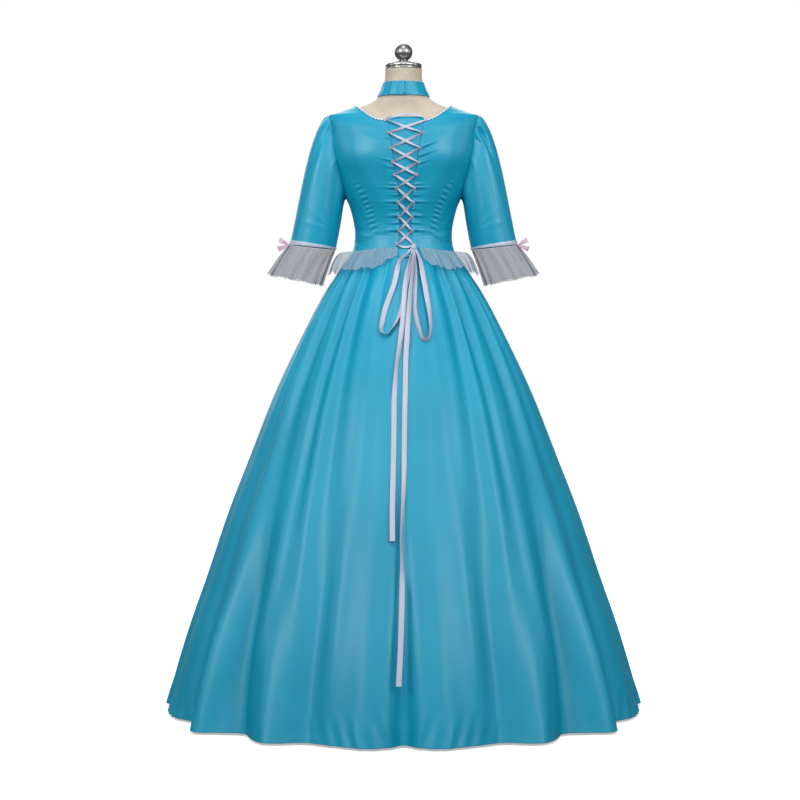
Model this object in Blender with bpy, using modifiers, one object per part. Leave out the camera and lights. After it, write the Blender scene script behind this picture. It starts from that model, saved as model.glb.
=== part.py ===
"""Ball gown on a limbless dress form, in metres, +Z up.

The gown's laced back faces -Y, its front faces +Y, and the stand's base
rests on the plane z = 0. Every cloth wall is a grid of points on a named
surface (bodice, sleeve, skirt, peplum, ruffle) with a second grid inside it.
Angles round the gown start at the centre back and run to +X first.
"""

import math

import bmesh
import bpy
import numpy as np

# Cloth and clearances
SATIN = 0.0015
TULLE = 0.0010
RIBBON = 0.0008
SEAM = 0.0003

# Waist, lacing and neckline
WAIST_HEIGHT = 1.0465
WAIST_DIP = 0.005
LACING_CENTRE = 0.0045
NECK_POINT = 0.107
SHOULDER_TIP_HEIGHT = 1.3545
PANEL_EDGE = SEAM / 2
NECK_POINTS = 6
NECK_CROWDING = 1.6
STRAP_POINTS = 4
PRINCESS_ROWS = 8
UPPER_STEPS = (0.0, 0.18, 0.37, 0.56, 0.73, 0.86, 0.94, 1.0)
LOWER_STEPS = (0.0, 0.20, 0.42, 0.64, 0.84, 1.0)
MODESTY_GAP = 0.0006
MODESTY_FOOT = 0.0005
MODESTY_HEAD = 0.0090
MODESTY_POINTS = (6, 10)
TRIM_BELOW = 0.0018
TRIM_ABOVE = 0.0015
TRIM_LIFT = 0.0013

# Skirt
HEM_HEIGHT = 0.006
GATHERS = 36
GATHER_DEPTH = 0.005
SKIRT_WALL = 0.0021
GATHER_REACH = 0.24
SIDE_SEAM = 92.0
SKIRT_ROWS = (1.0, 0.84, 0.68, 0.53, 0.39, 0.27, 0.16, 0.08, 0.03, 0.0)
FOLD_REACH = (0.0, 0.06, 0.5, 1.0)
GATHER_START = 0.02
SKIRT_BACK_POINTS = 37
SKIRT_FRONT_POINTS = 69

# Sleeves and their trims
SLEEVE_HEM = (0.2085, 0.0, 1.0545)
SLEEVE_HEM_RADII = (0.0525, 0.0550)
SLEEVE_HEM_TILT = 0.0055
SLEEVE_BAND = 0.035
SLEEVE_ROWS = 9
SLEEVE_CROWDING = 1.2
SLEEVE_LEAVE_OUT = (0.03, 0.10)
SLEEVE_LEAVE_FORWARD = 0.055
SLEEVE_LEAVE_DROP = (-0.012, -0.048)
SLEEVE_ARRIVE_OUT = (0.03, 0.04)
SLEEVE_ARRIVE_DROP = (-0.12, -0.17)
SLEEVE_PROUD = 0.0004
SLEEVE_SET_IN = 0.0008
RUFFLE_WAVES = 14
RUFFLE_DROP = 0.0009
RUFFLE_HEM = (0.2475, 0.0, 0.9790)
RUFFLE_HEM_RADII = (0.0595, 0.0680)
RUFFLE_HEM_TILT = 0.012
RUFFLE_WAVE = 0.0060
RUFFLE_ROWS = (1.0, 0.45, 0.0)
RUFFLE_FLARE = 0.85

# Peplum
PEPLUM_WAVES = 25
PEPLUM_BACK = 0.047
PEPLUM_SIDE = 0.078
PEPLUM_FRONT = 0.066
PEPLUM_WAVE = 0.0038
PEPLUM_PUFF = 0.0080
PEPLUM_SIDE_PUFF = 0.0060
PEPLUM_WALL = 0.0013
PEPLUM_STAND = 0.0022
PEPLUM_START = 17.4
PEPLUM_END = 353.8
PEPLUM_END_SHARE = 0.8
PEPLUM_END_REACH = 12.0
PEPLUM_DROP = (0.80, -0.22)
PEPLUM_FLARE = 0.7

# Lacing, choker
LACING_HOLD = 0.0015
LACING_RUNS = (("lacing_under", -1, 0.0013), ("lacing_over", 1, 0.0028))
LACING_TURN = 0.0045
LACING_WIDTH = 0.0060
LACING_NARROW = 0.0024
LACING_CORNER = 0.0018
LACING_TOP_RISE = (0.0065, 0.0120, 0.0010)
LACING_END = (0.005, 0.0070, 0.0050)
CHOKER_POINTS = 40
CHOKER_TURNS = (-26.0, 362.0)
CHOKER_HEIGHTS = (1.3985, 1.4300)
CHOKER_THICKNESS = 0.0018
CHOKER_LIFT = 0.0002
CHOKER_LAP_LIFT = 0.0024
CHOKER_LAP_START = 320.0
CHOKER_LAP_LENGTH = 8.0

# Dress form and stand
FORM_SIDES = 32
POLE_RADIUS = 0.0125
BASE_RADIUS = 0.210
FORM_BOTTOM = 0.880
NECK_TOP = 1.4605
FORM_HEIGHTS = (
    (FORM_BOTTOM, 0.95, 1.02, 1.06, 1.086, 1.12, 1.16, 1.21, 1.26, 1.31, 1.34)
    + (1.356, 1.366, 1.376, 1.384, 1.392, 1.402, 1.416, 1.434, NECK_TOP)
)
FINIAL_RADIUS = 0.0205
FINIAL_CENTRE = 1.4996
FINIAL_FOOT = (0.0105, 1.4793)
POLE_FOOT = 0.0180 + SEAM

# Turned profiles, top to bottom: radius, height
NECK_CAP = (
    (0.0, 1.4790),
    (0.0300, 1.4775),
    (0.0395, 1.4735),
    (0.0414, 1.4700),
    (0.0414, 1.4640),
    (0.0400, 1.4608),
    (0.0, 1.4608),
)
BASE = (
    (0.0, 0.0180),
    (0.0600, 0.0180),
    (BASE_RADIUS - 0.010, 0.0110),
    (BASE_RADIUS, 0.0060),
    (BASE_RADIUS, 0.0),
    (0.0, 0.0),
)

BODY_COLUMNS = ("height", "half_width", "back_depth", "front_depth")
BODY = (
    (0.860, 0.1620, 0.1200, 0.0950),
    (0.930, 0.1500, 0.1120, 0.0900),
    (0.990, 0.1320, 0.0980, 0.0860),
    (1.030, 0.1200, 0.0890, 0.0840),
    (1.0465, 0.1165, 0.0865, 0.0835),
    (1.060, 0.1125, 0.0835, 0.0830),
    (1.086, 0.1105, 0.0800, 0.0870),
    (1.102, 0.1127, 0.0800, 0.0930),
    (1.125, 0.1173, 0.0830, 0.1030),
    (1.148, 0.1240, 0.0880, 0.1150),
    (1.166, 0.1320, 0.0920, 0.1220),
    (1.200, 0.1440, 0.0980, 0.1270),
    (1.240, 0.1550, 0.1010, 0.1220),
    (1.280, 0.1630, 0.0990, 0.1080),
    (1.320, 0.1690, 0.0910, 0.0900),
    (1.343, 0.1725, 0.0790, 0.0740),
    (1.3545, 0.1722, 0.0650, 0.0600),
    (1.3616, 0.1500, 0.0590, 0.0550),
    (1.3685, 0.1310, 0.0555, 0.0520),
    (1.3760, 0.1100, 0.0530, 0.0505),
    (1.3820, 0.0890, 0.0520, 0.0500),
    (1.3890, 0.0710, 0.0515, 0.0495),
    (1.3960, 0.0620, 0.0510, 0.0495),
    (1.4060, 0.0560, 0.0500, 0.0490),
    (1.4180, 0.0500, 0.0475, 0.0470),
    (1.4306, 0.0465, 0.0450, 0.0450),
    (1.4480, 0.0448, 0.0440, 0.0440),
    (1.4610, 0.0448, 0.0440, 0.0440),
)

LACING_COLUMNS = ("height", "half_gap")
LACING = (
    (1.0300, 0.0200),
    (1.0545, 0.0175),
    (1.0835, 0.0130),
    (1.1130, 0.0119),
    (1.1436, 0.0136),
    (1.1766, 0.0164),
    (1.2080, 0.0215),
    (1.2390, 0.0265),
    (1.2720, 0.0305),
    (1.3060, 0.0361),
    (1.3400, 0.0418),
    (1.3550, 0.0430),
)
LOOP_HEIGHTS = (1.3360, 1.3080, 1.2745, 1.2420, 1.2145, 1.1855, 1.1535, 1.1210, 1.0895, 1.0580)

# Seam lines on the right half of the back: side distance and height
PRINCESS_COLUMNS = ("side", "height")
PRINCESS = (
    (0.0620, 1.0480),
    (0.0640, 1.0800),
    (0.0715, 1.1220),
    (0.0830, 1.1560),
    (0.1010, 1.1900),
    (0.1290, 1.2290),
    (0.1490, 1.2560),
)
BACK_NECKLINE = (
    (0.0510, 1.3390),
    (0.0640, 1.3440),
    (0.0860, 1.3590),
)
FRONT_NECKLINE = (
    (0.0000, 1.2950),
    (0.0420, 1.3030),
    (0.0660, 1.3270),
    (0.0840, 1.3570),
)

# Armhole edge, from the shoulder tip to the underarm: degrees away from the
# side line of the body, and height
ARMHOLE_COLUMNS = ("degrees", "height")
ARMHOLE_SCALE = np.array([0.0028, 1.0])
ARMHOLE = (
    (0.0, 1.3545),
    (10.0, 1.3480),
    (15.0, 1.3290),
    (16.3, 1.2830),
    (18.6, 1.2560),
    (17.6, 1.2130),
    (15.8, 1.1900),
    (10.0, 1.1720),
    (0.0, 1.1660),
)
ARMHOLE_CENTRE_HEIGHT = 1.258
PRINCESS_JOIN_ROW = 4

SKIRT_COLUMNS = ("height", "half_width", "depth")
SKIRT = (
    (0.000, 0.5500, 0.5500),
    (0.170, 0.4980, 0.4980),
    (0.308, 0.4485, 0.4485),
    (0.446, 0.4010, 0.3990),
    (0.584, 0.3470, 0.3430),
    (0.722, 0.2930, 0.2850),
    (0.860, 0.2290, 0.2150),
    (0.929, 0.1930, 0.1750),
    (0.998, 0.1500, 0.1250),
    (1.0465, 0.1168, 0.0868),
)

# Skirt folds of one half: place at the waist and at the hem (degrees from
# the centre back), spread (degrees) and height out of the cloth (metres) at
# the waist, half way down and at the hem. A negative height is a hollow.
FOLD_COLUMNS = ("waist_place", "hem_place", "spread", "waist", "middle", "hem")
FOLDS = (
    (0.0, 0.0, 2.4, 0.000, -0.002, -0.024),
    (9.0, 8.5, 4.0, 0.000, 0.001, 0.014),
    (33.0, 20.5, 4.5, -0.010, -0.009, -0.016),
    (37.0, 27.0, 2.8, 0.003, 0.007, 0.000),
    (41.0, 34.0, 2.6, -0.006, -0.006, 0.000),
    (50.0, 31.0, 4.5, 0.002, 0.005, 0.026),
    (57.0, 41.0, 3.6, -0.005, -0.006, -0.032),
    (61.0, 50.5, 4.0, 0.003, 0.008, 0.038),
    (66.0, 61.5, 3.6, -0.003, -0.005, -0.018),
    (72.0, 70.0, 3.0, 0.002, 0.004, 0.002),
    (80.0, 82.0, 3.2, -0.004, -0.005, -0.032),
    (94.0, 94.0, 3.2, -0.003, -0.004, -0.016),
    (103.0, 104.0, 4.0, 0.002, 0.005, 0.014),
    (112.0, 113.0, 3.6, -0.005, -0.006, -0.026),
    (121.0, 122.0, 4.2, 0.003, 0.006, 0.030),
    (130.0, 131.0, 3.4, -0.005, -0.006, -0.020),
    (138.0, 140.0, 4.2, 0.003, 0.006, 0.026),
    (146.0, 150.0, 3.8, -0.007, -0.008, -0.028),
    (155.0, 160.0, 4.0, 0.003, 0.005, 0.020),
    (165.0, 169.0, 3.8, -0.004, -0.005, -0.016),
    (180.0, 180.0, 6.0, 0.000, 0.002, 0.010),
)

# How far the dress form's surface lies inside the body surface
FORM_COLUMNS = ("height", "inset")
FORM = (
    (0.860, 0.0060),
    (1.000, 0.0060),
    (1.060, 0.0044),
    (1.250, 0.0038),
    (1.320, 0.0044),
    (1.357, 0.0076),
    (1.375, 0.0057),
    (1.392, 0.0028),
    (1.461, 0.0028),
)

# Ribbon routes on the gown's back: side, height, lift off the cloth, width
ROUTE_COLUMNS = ("side", "height", "lift", "width")
LOOP_LEFT = (
    (0.0164, 1.0422, 0.0095, 0.003),
    (0.0011, 1.0265, 0.0070, 0.004),
    (-0.0090, 1.0161, 0.0060, 0.006),
    (-0.0150, 0.9911, 0.0055, 0.011),
    (-0.0212, 0.9640, 0.0045, 0.011),
    (-0.0300, 0.9393, 0.0045, 0.010),
    (-0.0387, 0.9149, 0.0045, 0.010),
    (-0.0452, 0.8883, 0.0045, 0.009),
    (-0.0484, 0.8664, 0.0045, 0.006),
    (-0.0445, 0.8560, 0.0045, 0.004),
    (-0.0370, 0.8545, 0.0045, 0.004),
    (-0.0275, 0.8640, 0.0045, 0.005),
    (-0.0150, 0.8850, 0.0045, 0.008),
    (-0.0045, 0.9120, 0.0045, 0.009),
    (0.0011, 0.9393, 0.0045, 0.009),
    (0.0078, 0.9730, 0.0045, 0.008),
    (0.0130, 1.0024, 0.0045, 0.006),
    (0.0175, 1.0230, 0.0050, 0.004),
    (0.0190, 1.0385, 0.0065, 0.003),
)
LOOP_RIGHT = (
    (0.0266, 1.0410, 0.0085, 0.003),
    (0.0371, 1.0138, 0.0070, 0.010),
    (0.0414, 0.9843, 0.0085, 0.011),
    (0.0468, 0.9572, 0.0060, 0.011),
    (0.0521, 0.9282, 0.0045, 0.011),
    (0.0563, 0.8994, 0.0045, 0.010),
    (0.0584, 0.8708, 0.0045, 0.008),
    (0.0560, 0.8511, 0.0045, 0.005),
    (0.0483, 0.8420, 0.0045, 0.004),
    (0.0400, 0.8467, 0.0045, 0.004),
    (0.0341, 0.8642, 0.0045, 0.006),
    (0.0276, 0.8883, 0.0045, 0.008),
    (0.0239, 0.9149, 0.0045, 0.008),
    (0.0250, 0.9505, 0.0045, 0.008),
    (0.0262, 0.9843, 0.0045, 0.006),
    (0.0250, 1.0200, 0.0050, 0.004),
    (0.0245, 1.0385, 0.0065, 0.003),
)
TAIL_SHORT = (
    (0.0193, 1.0408, 0.0088, 0.0035),
    (0.0134, 1.0138, 0.0090, 0.006),
    (0.0067, 0.9820, 0.0085, 0.010),
    (0.0022, 0.9460, 0.0080, 0.011),
    (-0.0004, 0.9060, 0.0075, 0.011),
    (-0.0036, 0.8686, 0.0060, 0.011),
    (-0.0090, 0.8293, 0.0050, 0.009),
    (-0.0145, 0.7925, 0.0030, 0.007),
    (-0.0180, 0.7538, 0.0012, 0.009),
    (-0.0206, 0.7112, 0.0006, 0.011),
    (-0.0212, 0.6267, 0.0006, 0.011),
    (-0.0228, 0.5434, 0.0035, 0.011),
    (-0.0240, 0.4715, 0.0070, 0.011),
    (-0.0236, 0.4186, 0.0080, 0.011),
)
TAIL_LONG = (
    (0.0237, 1.0400, 0.0090, 0.0035),
    (0.0205, 1.0200, 0.0135, 0.005),
    (0.0185, 0.9956, 0.0130, 0.006),
    (0.0145, 0.9505, 0.0120, 0.008),
    (0.0105, 0.9016, 0.0110, 0.010),
    (0.0071, 0.8467, 0.0090, 0.011),
    (0.0044, 0.7925, 0.0035, 0.011),
    (0.0033, 0.7367, 0.0012, 0.011),
    (0.0019, 0.6688, 0.0000, 0.011),
    (0.0011, 0.6058, 0.0001, 0.011),
    (0.0002, 0.5434, 0.0035, 0.010),
    (-0.0028, 0.4777, 0.0070, 0.007),
    (-0.0057, 0.4206, 0.0080, 0.004),
    (-0.0040, 0.3700, 0.0090, 0.007),
    (-0.0036, 0.3157, 0.0100, 0.011),
    (-0.0048, 0.2600, 0.0110, 0.011),
    (-0.0064, 0.2106, 0.0120, 0.011),
    (-0.0085, 0.1616, 0.0130, 0.011),
    (-0.0105, 0.1262, 0.0140, 0.011),
)
TOP_RUN_LIFT = 0.0036
TAB_SIDES = (-0.0095, 0.0020, 0.0135)
TAB_HEIGHTS = (1.0270, 1.0360, 1.0450)
TAB_LIFT = 0.0038
KNOT_PLACE = (0.0215, 1.0484)
KNOT_LIFT = 0.0086

# Half of a sleeve bow's outline from loop to loop: radius, place along it
SLEEVE_BOW = (
    (0.0000, 0.0175),
    (0.0082, 0.0155),
    (0.0105, 0.0095),
    (0.0042, 0.0040),
    (0.0062, 0.0022),
    (0.0062, -0.0022),
    (0.0042, -0.0040),
    (0.0105, -0.0095),
    (0.0082, -0.0155),
    (0.0000, -0.0175),
)
SLEEVE_BOW_PLACE = (0.2709, -0.0136, 1.0618)
SLEEVE_BOW_TURN = -12.0
KNOT_RADII = (0.0060, 0.0055, 0.0075)

COLOURS = {
    "satin": (0.035, 0.36, 0.50, 1.0),
    "tulle": (0.55, 0.62, 0.70, 1.0),
    "ribbon": (0.80, 0.70, 0.76, 1.0),
    "linen": (0.60, 0.52, 0.43, 1.0),
    "metal": (0.70, 0.71, 0.73, 1.0),
}
ROUGHNESS = {"satin": 0.35, "tulle": 0.7, "ribbon": 0.4, "linen": 0.85, "metal": 0.2}


def monotone(xs, ys, at):
    """Smooth curve through the points (xs, ys) that never overshoots."""
    xs = np.asarray(xs, dtype=float)
    ys = np.asarray(ys, dtype=float)
    at = np.clip(np.asarray(at, dtype=float), xs[0], xs[-1])
    step = np.diff(xs)
    slope = np.diff(ys) / step
    tangent = np.zeros(len(xs))
    tangent[0] = slope[0]
    tangent[-1] = slope[-1]
    product = slope[:-1] * slope[1:]
    total = slope[:-1] + slope[1:]
    safe = np.where(product > 0, total, 1.0)
    tangent[1:-1] = np.where(product > 0, 2 * product / safe, 0.0)
    i = np.clip(np.searchsorted(xs, at) - 1, 0, len(xs) - 2)
    s = (at - xs[i]) / step[i]
    rise = (3 - 2 * s) * s * s
    start_lean = s * (1 - s) ** 2 * step[i] * tangent[i]
    end_lean = s * s * (1 - s) * step[i] * tangent[i + 1]
    return ys[i] * (1 - rise) + ys[i + 1] * rise + start_lean - end_lean


def size(rows, columns, name, height):
    """A named column of a table of rows at a height."""
    table = np.array(rows)
    return monotone(table[:, 0], table[:, columns.index(name)], height)


def through(points, count):
    """A smooth line through a few points, with count points evenly spaced."""
    points = np.array(points, dtype=float)
    lengths = np.linalg.norm(np.diff(points, axis=0), axis=1)
    places = np.concatenate([[0.0], np.cumsum(lengths)])
    fine_at = np.linspace(0.0, places[-1], 400)
    fine = np.stack([monotone(places, column, fine_at) for column in points.T], axis=1)
    return resample(fine, count)


def resample(points, count):
    """The same line with count points evenly spaced along it."""
    lengths = np.linalg.norm(np.diff(points, axis=0), axis=1)
    places = np.concatenate([[0.0], np.cumsum(lengths)])
    at = np.linspace(0.0, places[-1], count)
    return np.stack([np.interp(at, places, column) for column in points.T], axis=1)


# The body surface, which is the bodice's outer face


def body_sizes(height, front):
    """Half width and depth of the body's section, front or back."""
    half_width = size(BODY, BODY_COLUMNS, "half_width", height)
    back = size(BODY, BODY_COLUMNS, "back_depth", height)
    fore = size(BODY, BODY_COLUMNS, "front_depth", height)
    return half_width, np.where(front, fore, back)


def body_at_side(side, height, front):
    """Point of the body surface at a side distance and a height."""
    half_width, depth = body_sizes(height, front)
    rest = np.sqrt(np.clip(1 - (side / half_width) ** 2, 0.0, 1.0))
    sign = np.where(front, 1.0, -1.0)
    return np.stack(np.broadcast_arrays(side, sign * depth * rest, height), axis=-1)


def body_at_angle(degrees, height):
    """Point of the body surface at an angle from the centre back."""
    angle = np.radians(degrees)
    half_width, depth = body_sizes(height, np.cos(angle) < 0)
    across = half_width * np.sin(angle)
    return np.stack(np.broadcast_arrays(across, -depth * np.cos(angle), height), axis=-1)


def body_out(points, distance):
    """Points of the body surface moved out along its normal."""
    x, y, z = points[..., 0], points[..., 1], points[..., 2]
    step = 0.0005
    front = y > 0
    half_width, depth = body_sizes(z, front)
    wide_up, deep_up = body_sizes(z + step, front)
    wide_down, deep_down = body_sizes(z - step, front)
    wide_slope = (wide_up - wide_down) / (2 * step)
    deep_slope = (deep_up - deep_down) / (2 * step)
    normal = np.stack(
        [
            x / half_width**2,
            y / depth**2,
            -(x**2) * wide_slope / half_width**3 - y**2 * deep_slope / depth**3,
        ],
        axis=-1,
    )
    normal /= np.linalg.norm(normal, axis=-1, keepdims=True)
    return points + normal * np.asarray(distance)[..., None]


def ridge_height(side):
    """Height of the shoulder line at a side distance."""
    low = np.full(np.shape(side), SHOULDER_TIP_HEIGHT)
    high = np.full(np.shape(side), NECK_TOP)
    for _ in range(40):
        middle = (low + high) / 2
        wide = size(BODY, BODY_COLUMNS, "half_width", middle)
        low = np.where(wide > side, middle, low)
        high = np.where(wide > side, high, middle)
    return (low + high) / 2


def waist_height(degrees):
    """Height of the waist seam at an angle from the centre back."""
    return WAIST_HEIGHT + WAIST_DIP * np.cos(2 * np.radians(degrees))


# Meshes


def material(name):
    """The plain material of one kind of surface."""
    found = bpy.data.materials.get(name)
    if found:
        return found
    made = bpy.data.materials.new(name)
    made.use_nodes = True
    shader = made.node_tree.nodes["Principled BSDF"]
    shader.inputs["Base Color"].default_value = COLOURS[name]
    shader.inputs["Roughness"].default_value = ROUGHNESS[name]
    shader.inputs["Metallic"].default_value = 1.0 if name == "metal" else 0.0
    made.diffuse_color = COLOURS[name]
    return made


def place(name, mesh, kind, collection):
    """An object of its own for one piece."""
    piece = bpy.data.objects.new(name, mesh)
    mesh.materials.append(material(kind))
    mesh.shade_smooth()
    collection.objects.link(piece)
    return piece


def grid_faces(points, closed):
    """Triangles of a grid, each of its quads cut along the shorter diagonal."""
    columns, rows = points.shape[:2]
    after = np.roll(points, -1, axis=0)
    rising = np.linalg.norm(after[:, 1:] - points[:, :-1], axis=-1)
    falling = np.linalg.norm(after[:, :-1] - points[:, 1:], axis=-1)
    rises = rising < falling
    faces = []
    for i in range(columns if closed else columns - 1):
        for j in range(rows - 1):
            low, low_after = i * rows + j, (i + 1) % columns * rows + j
            if rises[i, j]:
                faces.append((low, low_after, low_after + 1))
                faces.append((low, low_after + 1, low + 1))
            else:
                faces.append((low, low_after, low + 1))
                faces.append((low_after, low_after + 1, low + 1))
    return faces


def rim_faces(columns, rows, closed):
    """Quads that join the edges of an outer and an inner grid."""
    inner = columns * rows
    faces = []
    for i in range(columns if closed else columns - 1):
        here, after = i * rows, (i + 1) % columns * rows
        faces.append((after, here, here + inner, after + inner))
        here, after = here + rows - 1, after + rows - 1
        faces.append((here, after, after + inner, here + inner))
    for j in range(0 if closed else rows - 1):
        faces.append((j, j + 1, j + 1 + inner, j + inner))
        last = (columns - 1) * rows + j
        faces.append((last + 1, last, last + inner, last + 1 + inner))
    return faces


def wall(name, outer, inner, kind, collection, closed=False):
    """A cloth wall between an outer and an inner grid of points.

    outer[i, j] runs with i to the right and j upwards, seen from outside.
    """
    columns, rows = outer.shape[:2]
    faces = grid_faces(outer, closed)
    faces += [tuple(columns * rows + point for point in face[::-1]) for face in faces]
    faces += rim_faces(columns, rows, closed)
    points = np.concatenate([outer.reshape(-1, 3), inner.reshape(-1, 3)])
    mesh = bpy.data.meshes.new(name)
    mesh.from_pydata(points.tolist(), [], faces)
    return place(name, mesh, kind, collection)


def shell(name, points, thickness, kind, collection):
    """An open grid, its outer face, made solid inwards by its thickness."""
    mesh = bpy.data.meshes.new(name)
    mesh.from_pydata(points.reshape(-1, 3).tolist(), [], grid_faces(points, False))
    piece = place(name, mesh, kind, collection)
    solid = piece.modifiers.new("Cloth", "SOLIDIFY")
    solid.thickness = thickness
    solid.offset = -1.0
    return piece


def grid_out(points, distance, closed):
    """A grid moved out along its own normals."""
    if closed:
        across = np.roll(points, -1, axis=0) - np.roll(points, 1, axis=0)
    else:
        across = np.gradient(points, axis=0)
    normal = np.cross(across, np.gradient(points, axis=1))
    normal /= np.linalg.norm(normal, axis=-1, keepdims=True)
    return points + normal * distance


def mirrored(points):
    """The grid on the other side of the gown, still facing out."""
    return (points * np.array([-1.0, 1.0, 1.0]))[::-1]


def patch(bottom, right, top, left, v):
    """Grid between four edge lines; v places its rows from 0 to 1."""
    u = np.linspace(0.0, 1.0, len(bottom))[:, None, None]
    v = np.asarray(v)[None, :, None]
    between = (1 - v) * bottom[:, None] + v * top[:, None]
    between = between + (1 - u) * left[None] + u * right[None]
    low = (1 - u) * bottom[0] + u * bottom[-1]
    high = (1 - u) * top[0] + u * top[-1]
    return between - (1 - v) * low - v * high


def shares(line):
    """How far along a line each of its points lies, from 0 to 1."""
    lengths = np.linalg.norm(np.diff(line, axis=0), axis=1)
    places = np.concatenate([[0.0], np.cumsum(lengths)])
    return places / places[-1]


def turned(name, profile, kind, collection, steps):
    """A turned solid from its profile, top to bottom, about the Z axis."""
    mesh = bpy.data.meshes.new(name)
    edges = [(i, i + 1) for i in range(len(profile) - 1)]
    mesh.from_pydata([(radius, 0.0, height) for radius, height in profile], edges, [])
    piece = place(name, mesh, kind, collection)
    screw = piece.modifiers.new("Turn", "SCREW")
    screw.steps = steps
    screw.render_steps = steps
    screw.use_merge_vertices = True
    screw.merge_threshold = 0.0001
    return piece


# Bodice


def lacing_edge(side_sign, height):
    """Side distance of a lacing edge, measured in its own half."""
    return size(LACING, LACING_COLUMNS, "half_gap", height) + side_sign * LACING_CENTRE


def armhole(first, last, steps):
    """Points of the armhole edge between two rows of its table.

    Each is given as degrees off the body's side line and a height.
    """
    line = through(np.array(ARMHOLE[first : last + 1]) * ARMHOLE_SCALE, 200)
    at = shares(line)
    return np.stack([np.interp(steps, at, column) for column in line.T], axis=1) / ARMHOLE_SCALE


def armhole_upper():
    """The armhole edge from the princess seam up to the shoulder tip."""
    return armhole(0, PRINCESS_JOIN_ROW, 1 - np.array(UPPER_STEPS))


def armhole_lower():
    """The armhole edge from the princess seam down to the underarm."""
    return armhole(PRINCESS_JOIN_ROW, len(ARMHOLE) - 1, np.array(LOWER_STEPS))


def armhole_sides(line):
    """Armhole points as side distance and height."""
    wide = size(BODY, BODY_COLUMNS, "half_width", line[:, 1])
    return np.stack([wide * np.cos(np.radians(line[:, 0])), line[:, 1]], axis=1)


def princess_line():
    """The princess seam from the waist up to the armhole."""
    join = armhole_sides(armhole_upper())[0]
    line = through(list(PRINCESS) + [tuple(join)], PRINCESS_ROWS)
    line[0, 1] = waist_at_side(line[0, 0])
    return line


def waist_at_side(side):
    """Height of the waist seam at a side distance."""
    wide = size(BODY, BODY_COLUMNS, "half_width", WAIST_HEIGHT)
    return waist_height(np.degrees(np.arcsin(side / wide)))


def outer_edge():
    """The edge of a centre panel: princess seam, then the upper armhole."""
    line = np.concatenate([princess_line(), armhole_sides(armhole_upper())[1:]])
    v = shares(line)
    line[:, 0] -= PANEL_EDGE
    return line, v


def centre_panel(inner_edge, neckline, right, v):
    """Side distances and heights of half a centre panel.

    inner_edge is its edge at the lacing or at the centre front.
    """
    neck = through(list(neckline) + [(NECK_POINT, ridge_height(np.array(NECK_POINT)))], 160)
    steps = 1 - np.linspace(1.0, 0.0, NECK_POINTS) ** NECK_CROWDING
    at = shares(body_at_side(neck[:, 0], neck[:, 1], False))
    neck = np.stack([np.interp(steps, at, column) for column in neck.T], axis=1)
    strap_sides = np.linspace(NECK_POINT, right[-1, 0], STRAP_POINTS)[1:]
    strap = np.stack([strap_sides, ridge_height(strap_sides)], axis=1)
    top = np.concatenate([neck, strap])
    bottom_sides = np.linspace(inner_edge[0, 0], right[0, 0], len(top))
    bottom = np.stack([bottom_sides, waist_at_side(bottom_sides)], axis=1)
    right[-1] = top[-1]
    right[0] = bottom[-1]
    inner_edge[0] = bottom[0]
    inner_edge[-1] = top[0]
    return patch(bottom, right, top, inner_edge, v)


def centre_back(side_sign):
    """Outer face of a centre back panel, drawn on the +X side."""
    right, v = outer_edge()
    waist = waist_at_side(lacing_edge(side_sign, WAIST_HEIGHT))
    heights = waist + (BACK_NECKLINE[0][1] - waist) * v
    inner_edge = np.stack([lacing_edge(side_sign, heights), heights], axis=1)
    neckline = [tuple(inner_edge[-1])] + list(BACK_NECKLINE[1:])
    flat = centre_panel(inner_edge, neckline, right, v)
    points = body_at_side(flat[..., 0], flat[..., 1], False)
    return points - (0.0, PANEL_EDGE, 0.0)


def centre_front():
    """Outer face of the whole front panel, from its +X to its -X edge."""
    right, v = outer_edge()
    heights = WAIST_HEIGHT + WAIST_DIP + (FRONT_NECKLINE[0][1] - WAIST_HEIGHT - WAIST_DIP) * v
    inner_edge = np.stack([0 * heights, heights], axis=1)
    flat = centre_panel(inner_edge, FRONT_NECKLINE, right, v)
    points = body_at_side(flat[..., 0], flat[..., 1], True) + (0.0, PANEL_EDGE, 0.0)
    other = points * (-1.0, 1.0, 1.0)
    return np.concatenate([points[::-1], other[1:]])


def side_panel(front):
    """Outer face of a side panel on the +X side."""
    left = princess_line()
    v = shares(left)
    wide = size(BODY, BODY_COLUMNS, "half_width", left[:, 1])
    left[:, 0] = np.degrees(np.arcsin(np.clip((left[:, 0] + PANEL_EDGE) / wide, 0.0, 1.0)))
    side = 90.0 - math.degrees(PANEL_EDGE / wide[0])
    hole = armhole_lower()
    top = np.stack([np.minimum(90.0 - hole[:, 0], side), hole[:, 1]], axis=1)
    top[0] = left[-1]
    bottom_degrees = np.linspace(left[0, 0], side, len(top))
    bottom = np.stack([bottom_degrees, waist_height(bottom_degrees)], axis=1)
    left[0] = bottom[0]
    heights = bottom[-1, 1] + (top[-1, 1] - bottom[-1, 1]) * v
    right = np.stack([np.full(len(v), side), heights], axis=1)
    flat = patch(bottom, right, top, left, v)
    if front:
        return body_at_angle(180.0 - flat[..., 0], flat[..., 1])[::-1]
    return body_at_angle(flat[..., 0], flat[..., 1])


def modesty_panel():
    """Outer face of the panel seen in the lacing gap, a little set in."""
    foot = float(waist_height(0.0)) + MODESTY_FOOT
    heights = np.linspace(foot, BACK_NECKLINE[0][1] + MODESTY_HEAD, MODESTY_POINTS[1])
    half = size(LACING, LACING_COLUMNS, "half_gap", heights) - MODESTY_GAP
    across = np.linspace(-1.0, 1.0, MODESTY_POINTS[0])[:, None]
    sides = LACING_CENTRE + across * half[None]
    points = body_at_side(sides, np.broadcast_to(heights, sides.shape), False)
    return body_out(points, np.full(sides.shape, -SEAM))


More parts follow.
